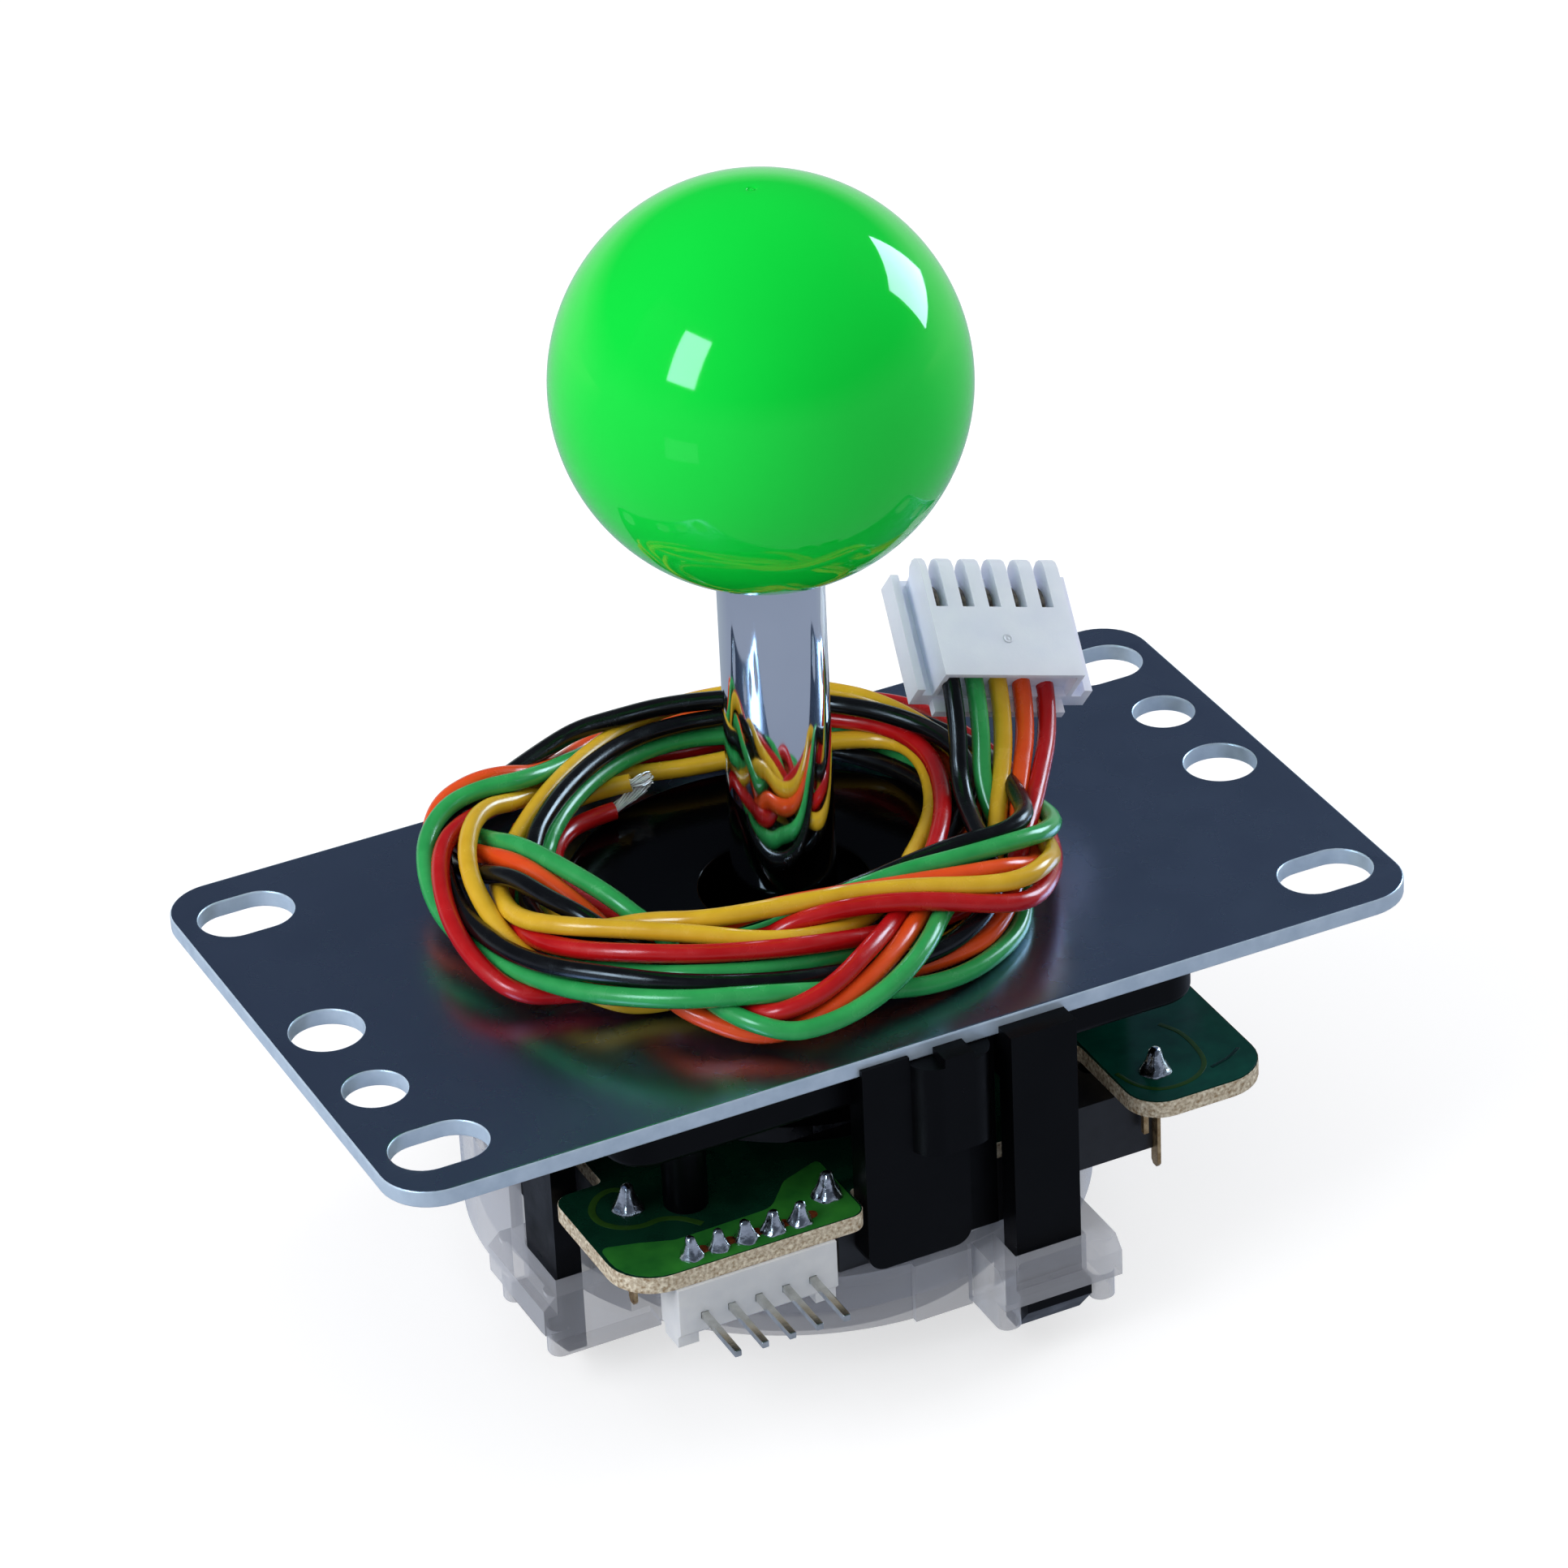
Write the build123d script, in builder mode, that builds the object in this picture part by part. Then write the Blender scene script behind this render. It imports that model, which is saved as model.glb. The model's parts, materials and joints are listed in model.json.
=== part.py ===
from build123d import *
import os
from math import atan2, cos, radians, sin, sqrt, tan

os.makedirs("parts", exist_ok=True)

# Arcade joystick lever. Millimetres, +Z up along the lever, +X along the plate's long side.
# The origin is the centre of the mounting plate's top face.

# Fits and gaps
press_gap = 0.02
running_gap = 0.08
snap_gap = 0.05
free_gap = 0.3

# Mounting plate
plate_length = 95.0
plate_width = 53.0
plate_thickness = 1.6
plate_corner_radius = 4.5
slot_end_inset = 6.0
slot_side_inset = 6.25
slot_length = 8.4
slot_width = 5.9
end_hole_inset = 4.8
big_hole_radius = 3.15
small_hole_radius = 2.7
small_hole_offset = 10.1
plate_bore_radius = 10.0

# Screws that hold the plate on the housing
screw_place_radius = 13.3
screw_radius = 1.4
screw_head_radius = 2.7
screw_head_height = 1.25
screw_length = 9.0
screw_recess_radius = 1.1
screw_recess_depth = 0.7

# Dust washer
washer_radius = 19.3
washer_bore_radius = 7.4
washer_thickness = 1.0

# Lever: ball, insert, shaft and pivot
ball_radius = 17.5
ball_centre_height = 49.3
ball_flat_radius = 5.2
insert_radius = 4.4
insert_length = 14.0
shaft_radius = 4.75
shank_radius = 3.5
thread_radius = 3.0
thread_length = 11.5
shaft_chamfer = 0.4
shaft_end_reach = 1.6
driver_slot_width = 1.2
driver_slot_depth = 1.4
pivot_depth = 9.0
pivot_radius = 8.2
pivot_upper_height = 3.9
pivot_lower_height = 2.6

# Spring, its seat and the actuator
seat_radius = 8.8
seat_bore_radius = 5.3
seat_thickness = 1.0
spring_radius = 6.3
spring_wire_radius = 0.45
spring_turns = 4
actuator_radius = 9.5
actuator_top_gap = 2.6
actuator_reach = 0.8
actuator_pocket_radius = 7.4
actuator_pocket_depth = 4.2
ring_recess_radius = 5.8
ring_recess_depth = 1.2
ring_radius = 5.0
ring_thickness = 0.8
ring_groove_radius = 2.8
ring_mouth_width = 4.6

# Moulded housing
flange_side_inset = 2.0
flange_extra_length = 5.6
flange_thickness = 4.2
flange_corner_radius = 3.5
flange_wall = 1.9
flange_skin = 1.9
rib_thickness = 1.6
drum_radius = 15.8
drum_height = 12.0
drum_cavity_radius = 11.3
drum_cavity_depth = 4.6
side_wall_left = -6.5
side_wall_right = 3.2
side_wall_lip = 0.5
side_wall_rise = 1.3
side_wall_corner = 1.6
recess_inset = 0.9
boss_left = -2.1
boss_right = 5.4
boss_depth = 10.2
boss_corner = 2.4
leg_left = 6.45
leg_right = 12.6
leg_thickness = 2.3
leg_drop = 2.3
hook_reach = 1.7
hook_taper = 1.5
hook_tip_thickness = 1.7
plate_lip_height = 0.8
post_radius = 1.9
peg_radius = 1.0
peg_length = 2.2
post_right_inset = 1.4
post_right_y = -9.5
post_rear = (20.5, 18.5)
post_left = (-20.5, 15.0)
post_front = (-19.4, -19.0)

# Circuit board
board_depth = 14.0
board_thickness = 1.6
board_left_lobe = 4.7
board_right_lobe = 8.9
board_front_lobe = 3.7
board_rear_lobe = 2.7
board_rear_right_lobe = 4.7
board_ear_lobe = 1.9
board_bore_radius = 17.4
board_ear_left = 20.2
board_wall_inset = 0.2
board_notch_gap = 0.4
board_corner_radius = 3.0
board_slot_corner = 0.6
board_edge_corner = 1.1
board_hole_clearance = 1.6

# Five-way pin header
pin_pitch = 2.5
pin_count = 5
pin_width = 0.64
header_centre = -17.4
pin_row_inset = 2.0
pin_drop = 3.1
pin_length = 6.3
header_inset = 0.4
header_depth = 3.6
header_end_margin = 2.3
header_height = 5.0
header_key_depth = 1.0
header_key_width = 1.9
header_key_share = 0.7
solder_radius = 1.0
solder_height = 1.5
big_solder_radius = 1.35
big_solder_height = 2.2
solder_tip_share = 0.32
solder_flare = 2.2

# Microswitches
case_length = 19.8
case_inner = 13.2
case_wall_gap = 0.2
case_height = 6.4
case_chamfer = 0.5
case_hole_radius = 1.15
case_hole_inset = 5.2
case_hole_shift = 2.0
front_hinge_distance = 11.3
right_hinge_distance = 21.15
left_hinge_distance = 17.15
hinge_inset = 2.4
hinge_stand_off = 0.8
lever_contact_radius = 10.8
lever_overhang = 3.2
lever_thickness = 0.35
lever_width = 4.0
lever_roll_radius = 0.55
lever_pin_radius = 0.3
ear_thickness = 0.7
ear_half_width = 0.9
plunger_offset = 5.0
plunger_radius = 0.8
plunger_length = 5.6
plunger_bore_depth = 5.2
plunger_gap = 0.08
terminal_thickness = 0.5
terminal_width = 2.0
terminal_drop = 6.3
terminal_tail_width = 0.9
outer_blade_inset = 0.3
inner_blade_inset = 2.4

# Clear gate
gate_overhang = 1.3
gate_floor_thickness = 1.4
gate_wall = 1.2
gate_rim_height = 5.7
gate_lobe_reach = 3.6
gate_lobe_gap = 1.0
gate_lobe_start = 150.0
gate_lobe_end = 188.0
gate_lobe_bevel = 0.45
gate_collar_radius = 19.6
gate_collar_inner = 18.2
gate_collar_height = 4.0
gate_lip_reach = 0.9
gate_lip_height = 0.5
gate_throat_radius = 16.4
gate_tab_left = -2.0
gate_tab_right = 3.4
gate_tab_inset = 0.9
gate_tab_reach = 0.5
cheek_thickness = 2.25
cheek_reach = 1.8
cheek_overlap = 1.2
cheek_drop = 0.6
cheek_round = 1.0
lug_back = 20.6
catch_inset = 0.1
catch_height = 3.6
catch_reach = 2.5
catch_bevel = 1.1

# Turning guide inside the gate
guide_opening = 25.6
guide_corner_radius = 6.0
guide_wall = 1.4
guide_floor_thickness = 1.2
guide_rim_wall = 1.3

# Wire harness
wire_radius = 0.82
coil_outer_x = 26.6
coil_outer_y = 26.0
coil_centre_x = -2.6
coil_centre_y = 3.8
coil_inner_x = 16.9
coil_inner_y = 15.8
coil_hole_x = 0.4
coil_hole_y = 5.4
coil_height = 7.4
coil_edge = 2.2
table_gap = 0.05
strip_radius = 0.5
strip_length = 4.4
wire_drop = 3.0
foot_centre = (18.9, -3.2, 5.8)
foot_step = (0.7, -0.3, 0.0)
end_tips = [(-9.1, 15.7, 3.0), (-7.1, 18.4, 4.2)]
end_direction = (0.88, 0.48, 0.0)
end_length = 7.4

# Loose plug of the harness
plug_corner = (23.6, 1.7, 13.7)
plug_along = (0.940, 0.0756, -0.328)
plug_normal = (0.2835, -0.7017, 0.651)
plug_height = 9.8
plug_body_width = 13.4
plug_width = 14.8
plug_body_depth = 4.4
plug_back_depth = 1.4
plug_tongue_width = 12.2
plug_tongue_drop = 1.1
plug_tongue_depth = 0.9
plug_panel_height = 5.4
plug_rib_thickness = 0.9
plug_slot_depth = 1.7
plug_hole_width = 1.9
plug_hole_depth = 1.6
plug_wire_depth = 2.6
plug_crest_radius = 1.5
contact_width = 1.3
contact_length = 2.8
contact_thickness = 0.5

# Heights that follow from the sizes above
plate_bottom = -plate_thickness
flange_bottom = plate_bottom - flange_thickness
drum_bottom = plate_bottom - drum_height
pivot_z = -pivot_depth
board_top = -board_depth
board_bottom = board_top - board_thickness
pin_axis = board_bottom - pin_drop
case_top = board_bottom
case_bottom = case_top - case_height
case_middle = (case_top + case_bottom) / 2
gate_rim_top = case_bottom - free_gap
gate_floor_bottom = gate_rim_top - gate_rim_height
gate_floor_top = gate_floor_bottom + gate_floor_thickness
gate_bottom = gate_floor_bottom - gate_collar_height
gate_lobe_top = board_bottom - gate_lobe_gap
side_wall_bottom = gate_rim_top + side_wall_rise
leg_bottom = gate_floor_bottom - leg_drop
catch_top = gate_rim_top - catch_inset
catch_bottom = catch_top - catch_height
cheek_bottom = gate_floor_bottom - cheek_drop
seat_bottom = drum_bottom - seat_thickness
actuator_top = seat_bottom - actuator_top_gap
actuator_bottom = gate_floor_bottom - actuator_reach
actuator_floor = actuator_top - actuator_pocket_depth
shaft_end = gate_floor_bottom - shaft_end_reach
ring_top = actuator_bottom + ring_recess_depth - snap_gap
ring_bottom = ring_top - ring_thickness
ball_flat_drop = sqrt(ball_radius**2 - ball_flat_radius**2)
ball_bottom = ball_centre_height - ball_flat_drop

# Distances from the lever's axis that follow from the plate
flange_width = plate_width - 2 * flange_side_inset
flange_length = flange_width + flange_extra_length
side_wall_back = flange_width / 2
side_wall_face = plate_width / 2 + side_wall_lip
recess_wall_face = plate_width / 2 - recess_inset
leg_back = plate_width / 2
leg_face = leg_back + leg_thickness
boss_face = leg_face
board_notch_reach = side_wall_back - board_wall_inset
board_left = -board_notch_reach - board_left_lobe
board_right = board_notch_reach + board_right_lobe
board_front = -board_notch_reach - board_front_lobe
board_rear = board_notch_reach + board_rear_lobe
board_rear_right = board_notch_reach + board_rear_right_lobe
board_ear_front = -board_notch_reach - board_ear_lobe
post_places = [(side_wall_back + post_right_inset, post_right_y), post_rear, post_left, post_front]
pin_row = -board_notch_reach - pin_row_inset
header_back = board_notch_reach + header_inset
header_front = header_back + header_depth
pin_reach = header_front + pin_length
case_outer = side_wall_back - case_wall_gap
outer_blade_y = -case_outer + outer_blade_inset
inner_blade_y = -case_outer + inner_blade_inset
gate_radius = side_wall_back + gate_overhang
gate_lobe_radius = gate_radius + gate_lobe_reach
cheek_face = leg_face + cheek_reach
catch_face = leg_face + catch_reach


def finish(builder, name):
    """Label one piece and write it."""
    builder.part.label = name
    export_step(builder.part, f"parts/{name}.step")


# Mounting plate: punched steel sheet with four slots, two pairs of round holes and a central bore
with BuildPart() as mounting_plate:
    with BuildSketch(Plane.XY.offset(plate_bottom)):
        RectangleRounded(plate_length, plate_width, plate_corner_radius)
        slot_spacing_x = plate_length - 2 * slot_end_inset
        slot_spacing_y = plate_width - 2 * slot_side_inset
        with GridLocations(slot_spacing_x, slot_spacing_y, 2, 2):
            SlotOverall(slot_length, slot_width, mode=Mode.SUBTRACT)
        end_hole_x = plate_length / 2 - end_hole_inset
        with Locations((-end_hole_x, 0), (end_hole_x, 0)):
            Circle(big_hole_radius, mode=Mode.SUBTRACT)
        with Locations((-end_hole_x, -small_hole_offset), (end_hole_x, small_hole_offset)):
            Circle(small_hole_radius, mode=Mode.SUBTRACT)
        Circle(plate_bore_radius, mode=Mode.SUBTRACT)
    extrude(amount=plate_thickness)
    with Locations(Plane.XY), PolarLocations(screw_place_radius, 4, start_angle=45):
        CounterSinkHole(
            screw_radius + free_gap,
            screw_head_radius + press_gap,
            counter_sink_angle=90,
        )
finish(mounting_plate, "mounting_plate")

# Countersunk screws, flush with the plate and hidden by the dust washer
with BuildPart() as plate_screws:
    with BuildSketch(Plane.XZ) as screw_profile:
        with BuildLine():
            Polyline(
                (0, -screw_recess_depth),
                (screw_recess_radius, -screw_recess_depth),
                (screw_recess_radius, 0),
                (screw_head_radius, 0),
                (screw_radius, -screw_head_height),
                (screw_radius, -screw_length),
                (0, -screw_length),
                close=True,
            )
        make_face()
    screw = revolve(screw_profile.sketch, axis=Axis.Z, mode=Mode.PRIVATE)
    with PolarLocations(screw_place_radius, 4, start_angle=45):
        add(screw)
finish(plate_screws, "plate_screws")

# Dust washer: a flat plastic disc that lies on the plate round the shaft
with BuildPart() as dust_washer:
    with BuildSketch():
        Circle(washer_radius)
        Circle(washer_bore_radius, mode=Mode.SUBTRACT)
    extrude(amount=washer_thickness)
    fillet(dust_washer.edges().group_by(Axis.Z)[-1].sort_by(SortBy.RADIUS)[-1], washer_thickness * 0.4)
finish(dust_washer, "dust_washer")

# One side of the housing: wall, round-fronted boss and the leg whose hook holds the gate
with BuildPart() as housing_side:
    with BuildSketch(Plane.XZ.offset(side_wall_back)) as wall_profile:
        with BuildLine():
            FilletPolyline(
                (side_wall_left, plate_bottom),
                (side_wall_left, side_wall_bottom),
                (side_wall_right, side_wall_bottom),
                (side_wall_right, plate_bottom),
                radius=side_wall_corner,
            )
            Line((side_wall_right, plate_bottom), (side_wall_left, plate_bottom))
        make_face()
    extrude(amount=side_wall_face - side_wall_back)
    recess_middle = (side_wall_right + leg_left) / 2
    recess_width = leg_left - side_wall_right
    with BuildSketch(Plane.XZ.offset(side_wall_back)):
        with Locations((recess_middle, (plate_bottom + side_wall_bottom) / 2)):
            Rectangle(recess_width, plate_bottom - side_wall_bottom)
    extrude(amount=recess_wall_face - side_wall_back)
    with BuildSketch(Plane.XY.offset(plate_bottom)) as boss_profile:
        with BuildLine():
            FilletPolyline(
                (boss_left, -side_wall_back),
                (boss_left, -boss_face),
                (boss_right, -boss_face),
                (boss_right, -side_wall_back),
                radius=boss_corner,
            )
            Line((boss_right, -side_wall_back), (boss_left, -side_wall_back))
        make_face()
    extrude(amount=-(boss_depth + plate_bottom))
    with BuildSketch(Plane.YZ.offset(leg_left)) as leg_profile:
        with BuildLine():
            Polyline(
                (-side_wall_back, plate_bottom),
                (-leg_face, plate_bottom),
                (-leg_face, catch_bottom - snap_gap),
                (-leg_face - hook_reach, catch_bottom - snap_gap),
                (-leg_face - hook_reach, catch_bottom - snap_gap - hook_taper),
                (-leg_back - hook_tip_thickness, leg_bottom),
                (-leg_back, leg_bottom),
                (-leg_back, flange_bottom),
                (-side_wall_back, flange_bottom),
                close=True,
            )
        make_face()
    extrude(amount=leg_right - leg_left)

# Moulded housing: ribbed flange, drum with the pivot's socket, four sides and four board posts
with BuildPart() as main_body:
    with BuildSketch(Plane.XY.offset(flange_bottom)):
        RectangleRounded(flange_length, flange_width, flange_corner_radius)
    extrude(amount=flange_thickness)
    fillet(main_body.edges().group_by(Axis.Z)[0], flange_wall * 0.4)
    with BuildSketch(Plane.XY.offset(flange_bottom)):
        RectangleRounded(
            flange_length - 2 * flange_wall,
            flange_width - 2 * flange_wall,
            flange_corner_radius - flange_wall,
        )
        Rectangle(flange_length, rib_thickness, mode=Mode.SUBTRACT)
        Rectangle(rib_thickness, flange_width, mode=Mode.SUBTRACT)
    extrude(amount=flange_thickness - flange_skin, mode=Mode.SUBTRACT)
    with BuildSketch(Plane.XY.offset(drum_bottom)):
        Circle(drum_radius)
    extrude(amount=drum_height)
    with BuildSketch(Plane.XZ) as socket_profile:
        with BuildLine():
            socket = pivot_radius + running_gap
            cavity_floor = plate_bottom - drum_cavity_depth
            Line((0, pivot_z - socket), (0, plate_bottom))
            Polyline(
                (0, plate_bottom),
                (drum_cavity_radius, plate_bottom),
                (drum_cavity_radius, cavity_floor),
                (socket, cavity_floor),
                (socket, pivot_z),
            )
            RadiusArc((socket, pivot_z), (0, pivot_z - socket), socket)
        make_face()
    revolve(axis=Axis.Z, mode=Mode.SUBTRACT)
    for quarter in range(4):
        add(housing_side.part.rotate(Axis.Z, 90 * quarter))
    for half in range(2):
        for left, right, face in (
            (side_wall_left, boss_left, side_wall_face),
            (boss_left + boss_corner, boss_right - boss_corner, boss_face),
            (leg_left, leg_right, leg_face),
        ):
            lip_back = plate_width / 2 + snap_gap
            lip = Box(right - left, face - lip_back, plate_lip_height, mode=Mode.PRIVATE)
            lip.position = (
                (left + right) / 2,
                -(face + lip_back) / 2,
                plate_bottom + plate_lip_height / 2,
            )
            add(lip.rotate(Axis.Z, 180 * half))
    with BuildSketch(Plane.XY.offset(board_top)):
        with Locations(*post_places):
            Circle(post_radius)
    extrude(amount=plate_bottom - flange_skin - board_top)
    with BuildSketch(Plane.XY.offset(board_top)):
        with Locations(*post_places):
            Circle(peg_radius)
    extrude(amount=-peg_length)
    with Locations(Plane.XY.offset(plate_bottom)), PolarLocations(screw_place_radius, 4, start_angle=45):
        Hole(screw_radius + press_gap, depth=screw_length)
finish(main_body, "main_body")

# Ball: moulded sphere with a flat underside, bored for its brass insert
with BuildPart() as ball_top:
    with Locations((0, 0, ball_centre_height)):
        Sphere(ball_radius)
    split(bisect_by=Plane.XY.offset(ball_bottom), keep=Keep.TOP)
    with BuildSketch(Plane.XY.offset(ball_bottom)):
        Circle(insert_radius + press_gap)
    extrude(amount=insert_length + press_gap, mode=Mode.SUBTRACT)
finish(ball_top, "ball_top")

# Threaded brass insert, pressed into the ball
with BuildPart() as ball_insert:
    with BuildSketch(Plane.XY.offset(ball_bottom)):
        RegularPolygon(insert_radius, 12)
        Circle(thread_radius + press_gap, mode=Mode.SUBTRACT)
    extrude(amount=insert_length)
finish(ball_insert, "ball_insert")

# Shaft: turned and plated bar, stepped down to a shank with a ring groove and a driver slot
with BuildPart() as shaft:
    shoulder = pivot_z + pivot_upper_height + snap_gap
    with BuildSketch(Plane.XZ) as shaft_profile:
        with BuildLine():
            Polyline(
                (0, shaft_end),
                (shank_radius - shaft_chamfer, shaft_end),
                (shank_radius, shaft_end + shaft_chamfer),
                (shank_radius, ring_bottom - snap_gap),
                (ring_groove_radius, ring_bottom - snap_gap),
                (ring_groove_radius, ring_top + snap_gap),
                (shank_radius, ring_top + snap_gap),
                (shank_radius, shoulder),
                (shaft_radius, shoulder),
                (shaft_radius, ball_bottom - snap_gap - shaft_chamfer),
                (shaft_radius - shaft_chamfer, ball_bottom - snap_gap),
                (thread_radius, ball_bottom - snap_gap),
                (thread_radius, ball_bottom + thread_length - shaft_chamfer),
                (thread_radius - shaft_chamfer, ball_bottom + thread_length),
                (0, ball_bottom + thread_length),
                close=True,
            )
        make_face()
    revolve(axis=Axis.Z)
    with BuildSketch(Plane.XY.offset(shaft_end)):
        Rectangle(2 * shaft_radius, driver_slot_width)
    extrude(amount=driver_slot_depth, mode=Mode.SUBTRACT)
finish(shaft, "shaft")

# Pivot: turned ball zone that rocks in the housing's socket
with BuildPart() as pivot_ball:
    with Locations((0, 0, pivot_z)):
        Sphere(pivot_radius)
    split(bisect_by=Plane.XY.offset(pivot_z + pivot_upper_height), keep=Keep.BOTTOM)
    split(bisect_by=Plane.XY.offset(pivot_z - pivot_lower_height), keep=Keep.TOP)
    with Locations((0, 0, pivot_z)):
        Hole(shank_radius + running_gap)
finish(pivot_ball, "pivot_ball")

# Spring seat: flat washer that the spring presses against the drum
with BuildPart() as spring_seat:
    with BuildSketch(Plane.XY.offset(seat_bottom)):
        Circle(seat_radius)
        Circle(seat_bore_radius, mode=Mode.SUBTRACT)
    extrude(amount=seat_thickness)
finish(spring_seat, "spring_seat")

# Return spring: open coil between the seat and the actuator's pocket
with BuildPart() as return_spring:
    spring_low = actuator_floor + spring_wire_radius + snap_gap
    spring_high = seat_bottom - spring_wire_radius - snap_gap
    with BuildLine(Plane.XY.offset(spring_low)) as spring_path:
        Helix((spring_high - spring_low) / spring_turns, spring_high - spring_low, spring_radius)
    with BuildSketch(Plane(spring_path.line @ 0, z_dir=spring_path.line % 0)):
        RegularPolygon(spring_wire_radius, 8)
    sweep(path=spring_path.line, is_frenet=True)
finish(return_spring, "return_spring")

# Actuator: moulded cup round the spring that presses the switch levers
with BuildPart() as actuator:
    with BuildSketch(Plane.XY.offset(actuator_bottom)):
        Circle(actuator_radius)
        Circle(shank_radius + running_gap, mode=Mode.SUBTRACT)
    extrude(amount=actuator_top - actuator_bottom)
    with BuildSketch(Plane.XY.offset(actuator_floor)):
        Circle(actuator_pocket_radius)
    extrude(amount=actuator_pocket_depth, mode=Mode.SUBTRACT)
    with BuildSketch(Plane.XY.offset(actuator_bottom)):
        Circle(ring_recess_radius)
    extrude(amount=ring_recess_depth, mode=Mode.SUBTRACT)
    chamfer(actuator.edges().group_by(Axis.Z)[0].sort_by(SortBy.RADIUS)[-1], shaft_chamfer)
finish(actuator, "actuator")

# Retaining ring: open spring-steel ring snapped into the shaft's groove
with BuildPart() as retaining_ring:
    with BuildSketch(Plane.XY.offset(ring_bottom)):
        Circle(ring_radius)
        Circle(ring_groove_radius + press_gap, mode=Mode.SUBTRACT)
        with Locations((ring_radius / 2, 0)):
            Rectangle(ring_radius, ring_mouth_width, mode=Mode.SUBTRACT)
    extrude(amount=ring_thickness)
finish(retaining_ring, "retaining_ring")


class SwitchPlace:
    """One microswitch: its side of the lever, the hand of its far end, how far off its hinge end is
    and at which end its outer blade sits."""

    def __init__(self, name, turn, hand, hinge_distance, outer_side):
        self.name = name
        self.turn = turn
        self.hand = hand
        self.outer_side = outer_side
        self.hinge_end = -hand * hinge_distance
        self.low_end = min(self.hinge_end, self.hinge_end + hand * case_length)
        self.high_end = self.low_end + case_length
        self.hinge_x = -hand * (hinge_distance - hinge_inset)
        self.hinge_y = -(case_inner - hinge_stand_off)
        rise = case_inner - hinge_stand_off - lever_contact_radius
        self.slope = atan2(rise, hinge_distance - hinge_inset)
        self.plunger_x = self.hinge_x + hand * plunger_offset

    def terminals(self):
        """Centres of the two blades in the switch's own frame; each stands against an end face."""
        low_x = self.low_end - terminal_thickness / 2
        high_x = self.high_end + terminal_thickness / 2
        if self.outer_side < 0:
            return [(low_x, outer_blade_y), (high_x, inner_blade_y)]
        return [(low_x, inner_blade_y), (high_x, outer_blade_y)]

    def to_world(self, x, y):
        """Turn a point of the switch's own frame to its side of the lever."""
        angle = radians(self.turn)
        return (x * cos(angle) - y * sin(angle), x * sin(angle) + y * cos(angle))


switch_places = [
    SwitchPlace("front", 0, -1, front_hinge_distance, -1),
    SwitchPlace("right", 90, 1, right_hinge_distance, -1),
    SwitchPlace("rear", 180, -1, front_hinge_distance, -1),
    SwitchPlace("left", 270, -1, left_hinge_distance, 1),
]
terminal_spots = [
    place.to_world(x, y) for place in switch_places for x, y in place.terminals()
]
pin_places = [
    (header_centre + pin_pitch * (number - (pin_count - 1) / 2), pin_row)
    for number in range(pin_count)
]

# Circuit board: four lobes that pass the housing's sides, bored for actuator, pins and terminals
notch_left = side_wall_left - board_notch_gap
notch_right = leg_right + board_notch_gap
notch_floor = board_notch_reach
corner = board_corner_radius
edge = board_edge_corner
slot = board_slot_corner
board_outline = [
    (board_left, -notch_right, edge),
    (board_left, board_front, corner),
    (notch_left, board_front, edge),
    (notch_left, -notch_floor, slot),
    (board_ear_left, -notch_floor, slot),
    (board_ear_left, board_ear_front, edge),
    (board_right, board_ear_front, corner),
    (board_right, notch_left, edge),
    (notch_floor, notch_left, slot),
    (notch_floor, notch_right, slot),
    (board_rear_right, notch_right, edge),
    (board_rear_right, board_rear, corner),
    (-notch_left, board_rear, edge),
    (-notch_left, notch_floor, slot),
    (-notch_right, notch_floor, slot),
    (-notch_right, board_rear, edge),
    (board_left, board_rear, corner),
    (board_left, -notch_left, edge),
    (-notch_floor, -notch_left, slot),
    (-notch_floor, -notch_right, slot),
]
with BuildPart() as circuit_board:
    with BuildSketch(Plane.XY.offset(board_bottom)):
        with BuildLine():
            FilletPolyline(
                *[(x, y) for x, y, size in board_outline],
                radius=[size for x, y, size in board_outline],
                close=True,
            )
        make_face()
        Circle(board_bore_radius, mode=Mode.SUBTRACT)
        with Locations(*pin_places):
            Circle(pin_width / 2 * board_hole_clearance, mode=Mode.SUBTRACT)
        with Locations(*terminal_spots):
            Circle(terminal_tail_width / 2 * board_hole_clearance, mode=Mode.SUBTRACT)
        with Locations(*post_places):
            Circle(peg_radius + running_gap, mode=Mode.SUBTRACT)
    extrude(amount=board_thickness)
finish(circuit_board, "circuit_board")

# Five right-angle pins that pass up through the board
with BuildPart() as header_pins:
    for x, y in pin_places:
        with BuildSketch(Plane.YZ.offset(x - pin_width / 2)):
            with BuildLine():
                Polyline(
                    (y + pin_width / 2, board_top),
                    (y - pin_width / 2, board_top),
                    (y - pin_width / 2, pin_axis + pin_width / 2),
                    (-pin_reach, pin_axis + pin_width / 2),
                    (-pin_reach, pin_axis - pin_width / 2),
                    (y + pin_width / 2, pin_axis - pin_width / 2),
                    close=True,
                )
            make_face()
        extrude(amount=pin_width)
finish(header_pins, "header_pins")

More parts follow.
